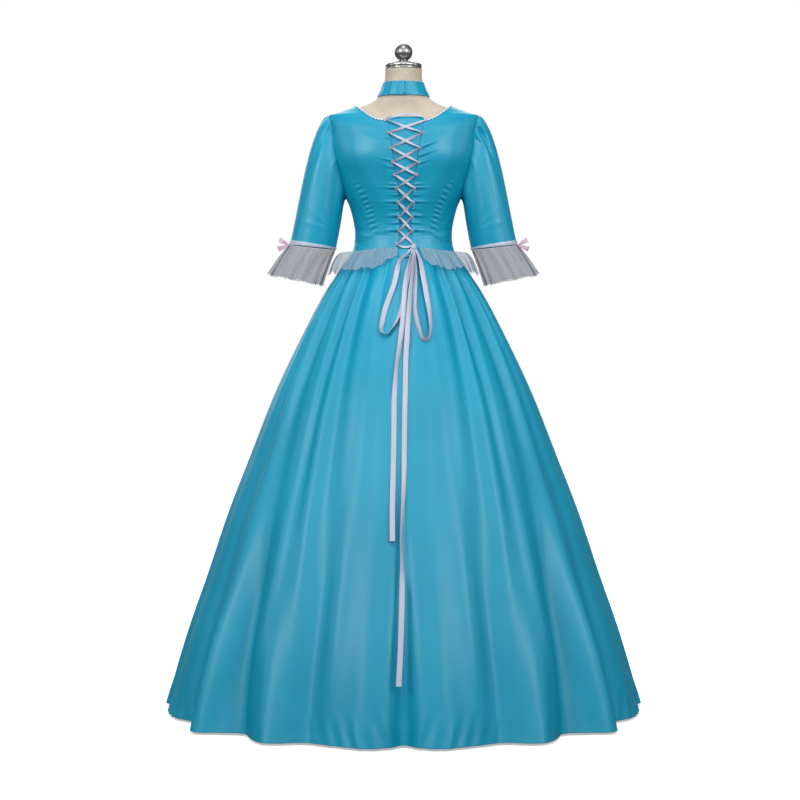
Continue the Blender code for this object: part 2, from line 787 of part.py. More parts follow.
def lay_panel(name, outer, collection):
    """A bodice panel from its outer face."""
    inner = body_out(outer, np.full(outer.shape[:2], -SATIN))
    inner[:, 0, 2] = outer[:, 0, 2]
    wall(name, outer, inner, "satin", collection)


def trim_strip(name, panel, collection):
    """Picot trim over the neckline end of a panel's top edge."""
    edge = panel[:, -1]
    level = np.zeros(len(edge))
    normal = body_out(edge, level + SATIN) - edge
    way = np.cross(normal, np.gradient(edge, axis=0))
    way /= np.linalg.norm(way, axis=1, keepdims=True)
    strip = np.stack([edge - way * TRIM_BELOW, edge + way * TRIM_ABOVE], axis=1)
    level = np.zeros(strip.shape[:2])
    outer = body_out(strip, level + TRIM_LIFT + TULLE)
    wall(name, outer, body_out(strip, level + TRIM_LIFT), "ribbon", collection)


def make_bodice(collection):
    """All bodice panels and the trim along their neckline."""
    right, left, front = centre_back(1), centre_back(-1), centre_front()
    lay_panel("bodice_back_right", right, collection)
    lay_panel("bodice_back_left", mirrored(left), collection)
    lay_panel("bodice_front", front, collection)
    for at_front, name in ((False, "bodice_side_back"), (True, "bodice_side_front")):
        panel = side_panel(at_front)
        lay_panel(name + "_right", panel, collection)
        lay_panel(name + "_left", mirrored(panel), collection)
    modesty = modesty_panel()
    shell("modesty_panel", modesty, TULLE, "satin", collection)
    trim_strip("neck_trim_back_right", right[:NECK_POINTS], collection)
    trim_strip("neck_trim_back_left", mirrored(left[:NECK_POINTS]), collection)
    strap = STRAP_POINTS - 1
    trim_strip("neck_trim_front", front[strap : len(front) - strap], collection)


# Sleeves


def armhole_loop():
    """The armhole edge of the +X side, from its tip round by the front."""
    half = np.concatenate([armhole_upper()[::-1], armhole_lower()[1:]])
    front = body_at_angle(90 + half[:, 0], half[:, 1])
    back = body_at_angle(90 - half[::-1, 0], half[::-1, 1])[1:-1]
    return np.concatenate([front, back])


def loop_turns(loop):
    """Turn of each point round the sleeve, spaced as along its armhole."""
    closed = np.concatenate([loop, loop[:1]])
    return 2 * math.pi * shares(closed)[:-1]


def sleeve(down):
    """Outer face of the +X sleeve, with its rows at down (0 to 1)."""
    edge = armhole_loop()
    centre = np.array([0.0, 0.0, ARMHOLE_CENTRE_HEIGHT])
    centre[0] = float(size(BODY, BODY_COLUMNS, "half_width", ARMHOLE_CENTRE_HEIGHT))
    inward = centre - edge
    inward /= np.linalg.norm(inward, axis=1, keepdims=True)
    start = body_out(edge, np.full(len(edge), SLEEVE_PROUD)) + inward * SLEEVE_SET_IN
    turn = loop_turns(edge)
    outer = (1 + np.cos(turn)) / 2
    hem = np.stack(
        [
            SLEEVE_HEM[0] + SLEEVE_HEM_RADII[0] * np.cos(turn),
            SLEEVE_HEM[1] + SLEEVE_HEM_RADII[1] * np.sin(turn),
            SLEEVE_HEM[2] + SLEEVE_HEM_TILT * np.cos(turn),
        ],
        axis=1,
    )
    leave = np.stack(
        [
            SLEEVE_LEAVE_OUT[0] + SLEEVE_LEAVE_OUT[1] * outer,
            SLEEVE_LEAVE_FORWARD * np.sin(turn),
            SLEEVE_LEAVE_DROP[0] + SLEEVE_LEAVE_DROP[1] * outer,
        ],
        axis=1,
    )
    arrive = np.stack(
        [
            SLEEVE_ARRIVE_OUT[0] + SLEEVE_ARRIVE_OUT[1] * outer,
            0 * outer,
            SLEEVE_ARRIVE_DROP[0] + SLEEVE_ARRIVE_DROP[1] * outer,
        ],
        axis=1,
    )
    s = np.asarray(down)[None, :, None]
    rise = (3 - 2 * s) * s * s
    points = start[:, None] * (1 - rise) + hem[:, None] * rise
    points = points + leave[:, None] * s * (1 - s) ** 2 - arrive[:, None] * s * s * (1 - s)
    return points


def sleeve_ruffle():
    """Outer face of the +X sleeve's tulle ruffle, hem first."""
    hem_edge = sleeve(np.array([1.0]))[:, 0]
    hem_turns = loop_turns(armhole_loop())
    turn = np.linspace(0.0, 2 * math.pi, RUFFLE_WAVES * 4, endpoint=False)
    closed_turns = np.concatenate([hem_turns, [2 * math.pi]])
    closed_edge = np.concatenate([hem_edge, hem_edge[:1]])
    top = np.stack([np.interp(turn, closed_turns, column) for column in closed_edge.T], axis=1)
    top[:, 2] -= RUFFLE_DROP
    wave = RUFFLE_WAVE * np.cos(RUFFLE_WAVES * turn)
    hem = np.stack(
        [
            RUFFLE_HEM[0] + (RUFFLE_HEM_RADII[0] + wave) * np.cos(turn),
            RUFFLE_HEM[1] + (RUFFLE_HEM_RADII[1] + wave) * np.sin(turn),
            RUFFLE_HEM[2] + RUFFLE_HEM_TILT * np.cos(turn),
        ],
        axis=1,
    )
    down = np.array(RUFFLE_ROWS)[None, :, None]
    flare = down**RUFFLE_FLARE
    points = top[:, None] * (1 - flare) + hem[:, None] * flare
    points[..., 2] = (top[:, None] * (1 - down) + hem[:, None] * down)[..., 2]
    return points


def make_sleeve(sign, name, collection):
    """One sleeve with its ruffle, ribbon band and bow."""

    def lay(piece_name, points, thickness, kind):
        inner = grid_out(points, -thickness, True)
        if sign < 0:
            points, inner = mirrored(points), mirrored(inner)
        wall(piece_name, points, inner, kind, collection, True)

    cloth = sleeve(1 - np.linspace(0.0, 1.0, SLEEVE_ROWS) ** SLEEVE_CROWDING)
    lay("sleeve_" + name, cloth, SATIN, "satin")
    band = sleeve(np.array([1.0, 1 - SLEEVE_BAND]))
    lay("sleeve_ribbon_" + name, grid_out(band, SEAM + TULLE, True), TULLE, "ribbon")
    lay("sleeve_ruffle_" + name, sleeve_ruffle(), TULLE, "tulle")
    bow = turned("sleeve_bow_" + name, SLEEVE_BOW, "ribbon", collection, 8)
    bow.rotation_euler = (math.radians(90), 0.0, math.radians(SLEEVE_BOW_TURN * sign))
    bow.location = (sign * SLEEVE_BOW_PLACE[0], SLEEVE_BOW_PLACE[1], SLEEVE_BOW_PLACE[2])


# Skirt and peplum


def skirt_smooth(degrees, height):
    """The skirt's surface without folds, at an angle and a height."""
    angle = np.radians(degrees)
    wide = size(SKIRT, SKIRT_COLUMNS, "half_width", height)
    deep = size(SKIRT, SKIRT_COLUMNS, "depth", height)
    return np.stack(np.broadcast_arrays(wide * np.sin(angle), -deep * np.cos(angle), height), axis=-1)


def fold_height(degrees, down):
    """How far the folds and gathers stand out of the smooth skirt."""
    half = np.abs((degrees + 180.0) % 360.0 - 180.0)
    total = np.zeros(np.broadcast(half, down).shape)
    for waist_place, hem_place, spread, waist, middle, hem in FOLDS:
        place_now = waist_place + (hem_place - waist_place) * down
        reach = monotone(FOLD_REACH, (0.0, waist, middle, hem), down)
        total = total + reach * np.exp(-(((half - place_now) / spread) ** 2))
    fade = np.clip(1 - down / GATHER_REACH, 0.0, 1.0) ** 1.5 * np.clip(down / GATHER_START, 0.0, 1.0)
    gather = 0.5 - 0.5 * np.cos(np.radians(GATHERS * degrees))
    return total - GATHER_DEPTH * gather * fade


def outward(degrees):
    """Level direction away from the gown's axis."""
    turn = np.radians(degrees)
    return np.stack([np.sin(turn), -np.cos(turn), 0 * turn], axis=-1)


def skirt(degrees, down):
    """Outer face of the skirt at an angle, from the waist (0) to the hem (1)."""
    degrees, down = np.broadcast_arrays(degrees, down)
    top = waist_height(degrees) - SEAM
    height = top + (HEM_HEIGHT - top) * down
    points = skirt_smooth(degrees, height)
    return points + outward(degrees) * fold_height(degrees, down)[..., None]


def make_skirt(collection):
    """The three gathered skirt panels."""
    down = np.array(SKIRT_ROWS)
    drop = HEM_HEIGHT + (WAIST_HEIGHT - HEM_HEIGHT) * (1 - down)
    seam_half = np.degrees(SEAM / 2 / size(SKIRT, SKIRT_COLUMNS, "depth", drop))
    panels = (
        ("skirt_back_right", 0.0, SIDE_SEAM, SKIRT_BACK_POINTS),
        ("skirt_front", SIDE_SEAM, 360.0 - SIDE_SEAM, SKIRT_FRONT_POINTS),
        ("skirt_back_left", 360.0 - SIDE_SEAM, 360.0, SKIRT_BACK_POINTS),
    )
    for name, start, end, columns in panels:
        degrees = np.linspace(start, end, columns)[:, None] + 0 * down[None]
        degrees[0] += seam_half
        degrees[-1] -= seam_half
        points = skirt(degrees, down[None])
        inner = points - outward(degrees) * SKIRT_WALL
        wall(name, points, inner, "satin", collection)


def peplum_length(degrees):
    """Length of the peplum's tulle at an angle."""
    turn = np.radians(degrees)
    ends = np.where(np.cos(turn) > 0, PEPLUM_BACK, PEPLUM_FRONT)
    length = ends + (PEPLUM_SIDE - ends) * np.sin(turn) ** 2
    from_end = np.minimum(degrees - PEPLUM_START, PEPLUM_END - degrees)
    near = np.clip(from_end / PEPLUM_END_REACH, 0.0, 1.0)
    return length * (PEPLUM_END_SHARE + (1 - PEPLUM_END_SHARE) * near)


def make_peplum(collection):
    """The gathered tulle strip round the waist, open at the centre back."""
    columns = PEPLUM_WAVES * 4
    degrees = np.linspace(PEPLUM_START, PEPLUM_END, columns)
    sideways = np.sin(np.radians(degrees)) ** 2
    wave = np.cos(np.arange(columns) * math.pi / 2)
    down = np.array([1.0, 0.5, 0.0])
    hang = PEPLUM_DROP[0] + PEPLUM_DROP[1] * sideways[:, None]
    drop = peplum_length(degrees)[:, None] * down * hang
    top = waist_height(degrees)[:, None] + SEAM
    points = skirt_smooth(degrees[:, None], top - drop)
    puff = PEPLUM_STAND + down**PEPLUM_FLARE * (PEPLUM_PUFF + PEPLUM_SIDE_PUFF * sideways[:, None])
    puff = puff + PEPLUM_WAVE * wave[:, None] * down
    away = outward(degrees)[:, None]
    points = points + away * puff[..., None]
    wall("peplum", points, points - away * PEPLUM_WALL, "tulle", collection)


# Ribbons on the back


def back_surface(sides, heights):
    """Point and outward normal of the smooth gown's back."""
    step = 0.002

    def depth(x, z):
        body = body_at_side(x, z, False)[..., 1]
        wide = size(SKIRT, SKIRT_COLUMNS, "half_width", z)
        deep = size(SKIRT, SKIRT_COLUMNS, "depth", z)
        skirt_depth = -deep * np.sqrt(np.clip(1 - (x / wide) ** 2, 0.0, 1.0))
        return np.where(z > WAIST_HEIGHT, body, skirt_depth)

    y = depth(sides, heights)
    slope_x = (depth(sides + step, heights) - depth(sides - step, heights)) / (2 * step)
    slope_z = (depth(sides, heights + step) - depth(sides, heights - step)) / (2 * step)
    normal = np.stack([slope_x, -np.ones_like(slope_x), slope_z], axis=-1)
    normal /= np.linalg.norm(normal, axis=-1, keepdims=True)
    return np.stack([sides, y, heights], axis=-1), normal


def ribbon(name, route, count, collection):
    """A flat ribbon lying along a route on the gown's back."""
    line = resample(np.array(route), count) if len(route) > count else through(route, count)
    surface, normal = back_surface(line[:, 0], line[:, 1])
    centre = surface + normal * line[:, 2:3]
    along = np.gradient(centre, axis=0)
    across = np.cross(along, normal)
    across /= np.linalg.norm(across, axis=1, keepdims=True)
    half = across * line[:, 3:4] / 2
    edges = np.stack([centre + half, centre - half], axis=1)
    return shell(name, edges[::-1], RIBBON, "ribbon", collection)


def make_lacing(collection):
    """Two crossing runs of ribbon between the lacing edges."""
    heights = np.array(LOOP_HEIGHTS)
    edge = size(LACING, LACING_COLUMNS, "half_gap", heights) + LACING_HOLD
    for name, first, lift in LACING_RUNS:
        signs = first * np.where(np.arange(len(heights)) % 2 == 0, 1, -1)
        corners = np.stack([LACING_CENTRE + signs * edge, heights], axis=1)
        route = []
        if first < 0:
            right_top = corners[0] * (0, 1) + (LACING_CENTRE + edge[0], LACING_TOP_RISE[0])
            middle = corners[0] * (0, 1) + (LACING_CENTRE, LACING_TOP_RISE[1])
            route += [(*right_top, TOP_RUN_LIFT, 0.0040), (*middle, TOP_RUN_LIFT, 0.0055)]
            corners[0, 1] += LACING_TOP_RISE[2]
        for i, corner in enumerate(corners):
            if i > 0:
                before = corners[i - 1]
                way = (before - corner) / np.linalg.norm(before - corner)
                route.append((*(corner + before) / 2, lift, LACING_WIDTH))
                route.append((*(corner + way * LACING_TURN), lift, LACING_NARROW))
            route.append((*corner, lift, LACING_CORNER))
            if i < len(corners) - 1:
                after = corners[i + 1]
                way = (after - corner) / np.linalg.norm(after - corner)
                route.append((*(corner + way * LACING_TURN), lift, LACING_NARROW))
        if first > 0:
            foot = corners[-1, 1]
            right = LACING_CENTRE + edge[-1] - LACING_END[0]
            route.append((LACING_CENTRE, foot - LACING_END[1], lift, 0.0045))
            route.append((right, foot - LACING_END[2], lift, 0.0035))
        ribbon(name, route, len(route), collection)


def make_tab(collection):
    """The small tab of satin under the foot of the lacing."""
    sides = np.array(TAB_SIDES)[:, None] + 0 * np.array(TAB_HEIGHTS)[None]
    heights = np.array(TAB_HEIGHTS)[None] + 0 * sides
    surface, normal = back_surface(sides, heights)
    shell("lacing_tab", surface + normal * TAB_LIFT, TULLE, "satin", collection)


def make_bow(collection):
    """The waist bow: knot, two drooping loops and two long tails."""
    ribbon("bow_loop_left", LOOP_LEFT, 24, collection)
    ribbon("bow_loop_right", LOOP_RIGHT, 22, collection)
    ribbon("bow_tail_short", TAIL_SHORT, 20, collection)
    ribbon("bow_tail_long", TAIL_LONG, 26, collection)
    surface, normal = back_surface(np.array([KNOT_PLACE[0]]), np.array([KNOT_PLACE[1]]))
    centre = (surface + normal * KNOT_LIFT)[0]
    work = bmesh.new()
    bmesh.ops.create_uvsphere(work, u_segments=10, v_segments=6, radius=1.0)
    bmesh.ops.scale(work, vec=KNOT_RADII, verts=work.verts)
    mesh = bpy.data.meshes.new("bow_knot")
    work.to_mesh(mesh)
    work.free()
    knot = place("bow_knot", mesh, "ribbon", collection)
    knot.location = centre


# Choker, dress form and stand


def make_choker(collection):
    """A satin band round the neck whose ends lap at the centre back."""
    turn = np.linspace(*CHOKER_TURNS, CHOKER_POINTS)
    heights = np.array(CHOKER_HEIGHTS)
    lapped = np.clip((turn - CHOKER_LAP_START) / CHOKER_LAP_LENGTH, 0.0, 1.0)
    points = body_at_angle(turn[:, None], heights[None])
    lift = CHOKER_LIFT + CHOKER_LAP_LIFT * lapped[:, None] + 0 * heights[None]
    shell("choker", body_out(points, lift), CHOKER_THICKNESS, "satin", collection)


def make_form(collection):
    """The linen torso with its neck, as one closed body."""
    heights = np.array(FORM_HEIGHTS)
    degrees = np.linspace(0.0, 360.0, FORM_SIDES, endpoint=False)
    points = body_at_angle(degrees[:, None], heights[None])
    inset = size(FORM, FORM_COLUMNS, "inset", heights)
    points = body_out(points, -inset[None] + 0 * degrees[:, None])
    points[:, 0, 2] = FORM_BOTTOM
    points[:, -1, 2] = NECK_TOP
    rows = len(heights)
    faces = grid_faces(points, True)
    faces.append([i * rows for i in range(FORM_SIDES)][::-1])
    faces.append([i * rows + rows - 1 for i in range(FORM_SIDES)])
    mesh = bpy.data.meshes.new("form_torso")
    mesh.from_pydata(points.reshape(-1, 3).tolist(), [], faces)
    place("form_torso", mesh, "linen", collection)


def make_stand(collection):
    """Neck cap, ball finial, pole and base."""
    turned("form_neck_cap", NECK_CAP, "metal", collection, 28)
    arc = np.radians(np.linspace(0.0, 150.0, 8))
    ball = np.stack([np.sin(arc), np.cos(arc)], axis=1) * FINIAL_RADIUS + (0.0, FINIAL_CENTRE)
    finial = [tuple(point) for point in ball.tolist()] + [FINIAL_FOOT, (0.0, FINIAL_FOOT[1])]
    turned("form_finial", finial, "metal", collection, 18)
    turned("form_base", BASE, "metal", collection, 40)
    top = FORM_BOTTOM - SEAM
    pole = ((0.0, top), (POLE_RADIUS, top), (POLE_RADIUS, POLE_FOOT), (0.0, POLE_FOOT))
    turned("form_pole", pole, "metal", collection, 20)


def main():
    """Clear the scene and build every piece."""
    for old in list(bpy.data.objects):
        bpy.data.objects.remove(old, do_unlink=True)
    collection = bpy.data.collections.new("ball_gown")
    bpy.context.scene.collection.children.link(collection)
    make_form(collection)
    make_stand(collection)
    make_choker(collection)
    make_bodice(collection)
    for sign, name in ((1, "right"), (-1, "left")):
        make_sleeve(sign, name, collection)
    make_skirt(collection)
    make_peplum(collection)
    make_lacing(collection)
    make_tab(collection)
    make_bow(collection)


main()
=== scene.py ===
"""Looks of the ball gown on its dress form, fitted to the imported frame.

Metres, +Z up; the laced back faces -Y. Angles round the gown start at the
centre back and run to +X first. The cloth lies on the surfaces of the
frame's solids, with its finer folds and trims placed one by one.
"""

import math

import bpy
import numpy as np
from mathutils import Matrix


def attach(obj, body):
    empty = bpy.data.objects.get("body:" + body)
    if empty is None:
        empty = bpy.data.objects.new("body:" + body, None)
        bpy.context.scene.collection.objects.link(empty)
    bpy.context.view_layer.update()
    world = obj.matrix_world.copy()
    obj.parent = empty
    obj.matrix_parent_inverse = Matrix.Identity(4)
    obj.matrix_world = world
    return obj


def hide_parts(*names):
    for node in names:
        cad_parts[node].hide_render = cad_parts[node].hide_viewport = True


# Camera, lens in millimetres
CAMERA_PLACE = (-0.0080, -5.0, 0.906)
CAMERA_TILT = 87.68
CAMERA_LENS = 97.8

# Cloth
SATIN = 0.0010
RIBBON = 0.0005
SEAM = 0.0003
RIBBON_WIDTH = 0.011
LACING_WIDTH = 0.0056
CRISP_ANGLE = 50.0
SEAM_SINK = 0.0004
SEAM_SINK_REACH = 0.0016

# Directions, and how finely lines and slopes are measured
FULL_TURN = 2 * math.pi
ACROSS, FORWARD, UP = np.eye(3)
MIRROR = np.array([-1.0, 1.0, 1.0])
FINE_STEPS = 400
HALVINGS = 40
SLOPE_STEP = 0.0005
BACK_STEP = 0.002
TINY = 1e-6

# Most pairs below are a place and its reach, or a value and what is added to
# it. The rows of a wave are its height, its rate and its start. A whole number
# at the end of an arc is its count of points.

# Waist, lacing and neckline
WAIST_HEIGHT = 1.0465
WAIST_DIP = 0.005
LACING_CENTRE = 0.0045
NECK_POINT = 0.107
SHOULDER_TIP_HEIGHT = 1.3545
PANEL_EDGE = 0.00002
NECK_POINTS = 40
NECK_CROWDING = 1.25
NECK_STEPS = 160
STRAP_POINTS = 22
PRINCESS_ROWS = 170
UPPER_STEPS = np.linspace(0.0, 1.0, 52)
LOWER_STEPS = np.linspace(0.0, 1.0, 60)
PRINCESS_JOIN_ROW = 4
ARMHOLE_SCALE = np.array([0.0028, 1.0])
ARMHOLE_CENTRE_HEIGHT = 1.258
ARMHOLE_STEPS = 200
TRIM_STEPS = 120
MODESTY_HEIGHTS = (1.0520, 1.3480)
MODESTY_COLUMNS = 24
MODESTY_ROWS = 90
MODESTY_INSET = 0.0004
MODESTY_DEPTH = 0.0013
MODESTY_RIPPLE = 0.0006
MODESTY_RIPPLE_RATE = 130.0
MODESTY_SLANT = 1.5

# Skirt
HEM_HEIGHT = 0.006
SIDE_SEAM = 92.0
FOLD_REACH = (0.0, 0.06, 0.5, 1.0)
SKIRT_ROWS = 190
SKIRT_CROWDING = 1.2
SKIRT_LENGTH = 1.04
SKIRT_ROLL_START = 0.1
SKIRT_PANELS = (
    ("skirt_back_right", 0.0, SIDE_SEAM, 220),
    ("skirt_front", SIDE_SEAM, 360.0 - SIDE_SEAM, 300),
    ("skirt_back_left", 360.0 - SIDE_SEAM, 360.0, 220),
)
WAIST_SINK = 0.0010
WAIST_SINK_SPAN = (0.004, 0.05, 0.30)
SKIRT_SEAM = 0.0008
SKIRT_SEAM_REACH = 0.0016
SKIRT_SEAM_START = (0.25, 0.2)
SEAM_METRES = 0.0087
SEAM_WAIST_SHARE = 0.3
HEM_TURN = ((0.0140, 0.0018), (0.0040, 0.0014), (0.0003, 0.0006))
HEM_ROWS = (1.0, 0.9988, 0.9972, 0.9950)
HEM_METRES = 0.0096
HEM_STITCH = 0.022
HEM_STITCH_REACH = 0.0030
HEM_STITCH_DEPTH = 0.0006
HEM_STITCH_LEAST = 0.4
HEM_STITCH_LENGTH = 0.021
HEM_STITCH_SHIFT = ((2.0, 9.0, 0.0),)
HEM_RIPPLE = (0.0006, 0.0012)
HEM_RIPPLE_CHANGE = (8.0, 1.6)
HEM_RIPPLE_START = (0.93, 0.05)
HEM_RIPPLE_LENGTH = 0.034
HEM_RIPPLE_SLANT = 60.0

# Sleeves; a hem is a ring of its centre, radii and tilt
SLEEVE_HEM = ((0.2085, 0.0, 1.0545), (0.0525, 0.0550), 0.0055)
SLEEVE_BAND = 0.035
SLEEVE_PROUD = -0.0006
SLEEVE_SET_IN = -0.0012
SLEEVE_ROWS = 96
SLEEVE_CROWDING = 1.1
SLEEVE_CALM_HEM = 0.05
SLEEVE_CALM_HEAD = 0.012
SLEEVE_SEAM = 0.0001
SLEEVE_SEAM_REACH = 0.006
BAND_ROWS = 6
BAND_LIFT = 0.0013
BAND_CROWN = 0.0004
BAND_UNEVEN = 0.0002
BAND_RIPPLE = 0.9

# How a sleeve leaves its armhole and comes to its hem: on its inner side, and
# what is added to that towards its outer side
SLEEVE_LEAVE = np.array([[0.03, 0.0, -0.012], [0.10, 0.0, -0.048]])
SLEEVE_LEAVE_FORWARD = 0.055
SLEEVE_ARRIVE = np.array([[0.03, 0.0, -0.12], [0.04, 0.0, -0.17]])

# Small bow of a sleeve; the loops' rows are reach and lean in degrees
BOW_KNOT = (0.2615, -0.0150, 1.0590)
BOW_LOOPS = ((0.0250, 26.0), (0.0270, -22.0))
BOW_LOOP_STEPS = 41
BOW_LOOP_RISE = 0.0012
BOW_LOOP_OPEN = 0.0045
BOW_LOOP_HALF = (0.0018, 0.0044)
BOW_TAIL_STEPS = 14
BOW_TAIL_SPREAD = 0.0070
BOW_TAIL_FALL = 0.0115
BOW_TAIL_UNEVEN = 0.001
BOW_TAIL_OUT = (0.0012, 0.0040)
BOW_TAIL_TURN = (0.9, 0.3)
BOW_TAIL_HALF = 0.0012
SMALL_KNOT = (0.0034, 0.0038)
SMALL_KNOT_PLEAT = 0.10
SMALL_KNOT_PLEATS = 5
SMALL_KNOT_GRID = (24, 14, 0.08)

# Ruffle of a sleeve
RUFFLE_WAVES = 14
RUFFLE_DROP = 0.0009
RUFFLE_HEM = ((0.2475, 0.0, 0.9790), (0.0595, 0.0680), 0.012)
RUFFLE_WAVE = 0.0050
RUFFLE_FLARE = 0.85
RUFFLE_COLUMNS = 336
RUFFLE_ROWS = 26
RUFFLE_SHIFT = ((0.45, 2, 1.0),)
RUFFLE_UNEVEN = ((0.22, 3, 0.6), (0.15, 5, 2.0))
RUFFLE_EDGE = ((0.0020, 0.5, 1.0), (0.0008, 1.31, 0.0))
RUFFLE_SMALL = ((0.0006, 3, 0.8),)
RUFFLE_SMALL_RISE = 1.4
RUFFLE_GATHER = ((0.0007, 5, 0.0),)
RUFFLE_GATHER_END = 0.05

# Peplum
PEPLUM_QUARTERS = 99
PEPLUM_BACK = 0.047
PEPLUM_SIDE = 0.078
PEPLUM_FRONT = 0.066
PEPLUM_WAVE = 0.0038
PEPLUM_PUFF = 0.0080
PEPLUM_SIDE_PUFF = 0.0060
PEPLUM_STAND = 0.0022
PEPLUM_START = 17.4
PEPLUM_END = 353.8
PEPLUM_END_SHARE = 0.55
PEPLUM_END_REACH = 14.0
PEPLUM_DROP = (0.80, -0.22)
PEPLUM_FLARE = 0.7
PEPLUM_SIDE_FLARE = 0.25
PEPLUM_SIDE_LAG = 0.9
PEPLUM_COLUMNS = 960
PEPLUM_ROWS = 22
PEPLUM_SHIFT = ((0.5, 23.0, 0.0),)
PEPLUM_UNEVEN = ((0.30, 0.29, 1.0),)
PEPLUM_RAGGED = ((0.09, 0.23, 0.4), (0.07, 0.61, 0.0), (0.06, 1.9, 0.0))
PEPLUM_SMALL = ((0.0010, 3.1, 1.0),)
PEPLUM_GATHER = ((0.0006, 5, 0.0),)
STAND_OUT = 0.55
STAND_DROP = 2.6
STAND_SHARE = 0.8
STAND_START = (0.45, 0.5)
STAND_RIPPLE = 0.3

# Dress form and finial
FORM_BOTTOM = 0.880
NECK_TOP = 1.4605
FORM_SHOULDER = (1.340, 1.345)
FORM_ROWS = 60
FORM_AROUND = 120
FORM_SEAMS = (0.0, 90.0, 180.0, 270.0)
FORM_SEAM_REACH = 2.0
FORM_SEAM_DEPTH = 0.0006
FORM_SEAM_START = (1.36, 0.02)
FORM_CLOSING = (0.02, 0.02, 1.0)
FINIAL_FOOT = ((0.0004, 1.4791), (0.0100, 1.4791), (0.0112, 1.4800), (0.0100, 1.4812))
FINIAL_RADIUS = 0.0205
FINIAL_HEIGHT = 1.4996
FINIAL_ARC = (152.0, 0.5, 44)
FINIAL_COLUMNS = 72
NECK_CAP_COLUMNS = 96

# Choker and picot trim; a row of the trim is its place across the neckline
# and its lift
CHOKER_TURNS = (-26.0, 362.0, 760)
CHOKER_ROWS = 14
CHOKER_HEIGHTS = (1.3985, 1.4300)
CHOKER_THICKNESS = 0.0016
CHOKER_LIFT = 0.0006
CHOKER_LAP = (320.0, 8.0)
CHOKER_LAP_LIFT = 0.0022
CHOKER_EDGE = 0.0005
CHOKER_WAVE = 0.0005
CHOKER_WAVE_RATE = 0.21
CHOKER_STITCHES = (329.0, 356.0, 360.0)
STITCH_SWELL = 0.0010
STITCH_SWELL_REACH = 1.6
STITCH_COUNT = 8
STITCH_FIRST = 0.0030
STITCH_STEP = 0.0034
STITCH_LENGTH = 0.0022
STITCH_LIFT = 0.0026
STITCH_CROWN = 0.0003
STITCH_POINTS = 5
STITCH_SIDES = 5
STITCH_THREAD = 0.00022
TRIM_ROWS = ((-0.0010, 0.0004), (-0.0006, 0.0007), (-0.0001, 0.0007), (0.0002, 0.0003))
PICOT_ARC = (-0.40 * math.pi, 1.40 * math.pi, 11)
PICOT_SIDES = 6
PICOT_LEAN = 0.45
PICOT_LIFT = 0.0022
PICOT_SPACING = 0.0073
PICOT_RADIUS = 0.0009
PICOT_THREAD = 0.0013
PICOT_REACH = 0.0032

# Turned profile of the neck cap, bottom to top: radius, height
NECK_CAP = (
    (0.0010, 1.4609),
    (0.0395, 1.4609),
    (0.0410, 1.4613),
    (0.0414, 1.4622),
    (0.0414, 1.4640),
    (0.0408, 1.4646),
    (0.0408, 1.4653),
    (0.0414, 1.4660),
    (0.0414, 1.4700),
    (0.0409, 1.4722),
    (0.0395, 1.4735),
    (0.0360, 1.4750),
    (0.0300, 1.4766),
    (0.0200, 1.4780),
    (0.0100, 1.4787),
    (0.0010, 1.4788),
)

# Lamps: name, kind, place, aim, width (degrees or metres), height, strength
ROOM_LIGHT = 0.13
FLOOR_GLOW = 0.45
BOX_SPREAD = 70.0
FLOOR_REACH = 9.0
LAMPS = (
    ("top", "SUN", (0.0, -1.2, 2.8), (0.0, 0.0, 0.0), 36.0, 0.0, 1.25),
    ("box_left", "AREA", (-2.9, -3.3, 2.95), (0.0, 0.0, 1.45), 2.0, 1.5, 20.5),
    ("box_right", "AREA", (2.9, -3.3, 2.95), (0.0, 0.0, 1.45), 2.0, 1.5, 19.0),
    ("side_left", "AREA", (-4.4, -0.6, 2.2), (0.0, 0.0, 1.0), 1.4, 1.6, 3.5),
    ("side_right", "AREA", (4.4, -0.6, 2.2), (0.0, 0.0, 1.0), 1.4, 1.6, 3.0),
    ("box_back", "AREA", (0.0, -4.5, 3.0), (0.0, 0.0, 1.35), 2.4, 1.2, 6.0),
    ("front", "SUN", (-0.5, 2.8, 1.9), (0.0, 0.0, 0.0), 60.0, 0.0, 2.0),
)

BODY_COLUMNS = ("height", "half_width", "back_depth", "front_depth")
BODY = (
    (0.860, 0.1620, 0.1200, 0.0950),
    (0.930, 0.1500, 0.1120, 0.0900),
    (0.990, 0.1320, 0.0980, 0.0860),
    (1.030, 0.1200, 0.0890, 0.0840),
    (1.0465, 0.1165, 0.0865, 0.0835),
    (1.060, 0.1125, 0.0835, 0.0830),
    (1.086, 0.1105, 0.0800, 0.0870),
    (1.102, 0.1127, 0.0800, 0.0930),
    (1.125, 0.1173, 0.0830, 0.1030),
    (1.148, 0.1240, 0.0880, 0.1150),
    (1.166, 0.1320, 0.0920, 0.1220),
    (1.200, 0.1440, 0.0980, 0.1270),
    (1.240, 0.1550, 0.1010, 0.1220),
    (1.280, 0.1630, 0.0990, 0.1080),
    (1.320, 0.1690, 0.0910, 0.0900),
    (1.343, 0.1725, 0.0790, 0.0740),
    (1.3545, 0.1722, 0.0650, 0.0600),
    (1.3616, 0.1500, 0.0590, 0.0550),
    (1.3685, 0.1310, 0.0555, 0.0520),
    (1.3760, 0.1100, 0.0530, 0.0505),
    (1.3820, 0.0890, 0.0520, 0.0500),
    (1.3890, 0.0710, 0.0515, 0.0495),
    (1.3960, 0.0620, 0.0510, 0.0495),
    (1.4060, 0.0560, 0.0500, 0.0490),
    (1.4180, 0.0500, 0.0475, 0.0470),
    (1.4306, 0.0465, 0.0450, 0.0450),
    (1.4480, 0.0448, 0.0440, 0.0440),
    (1.4610, 0.0448, 0.0440, 0.0440),
)

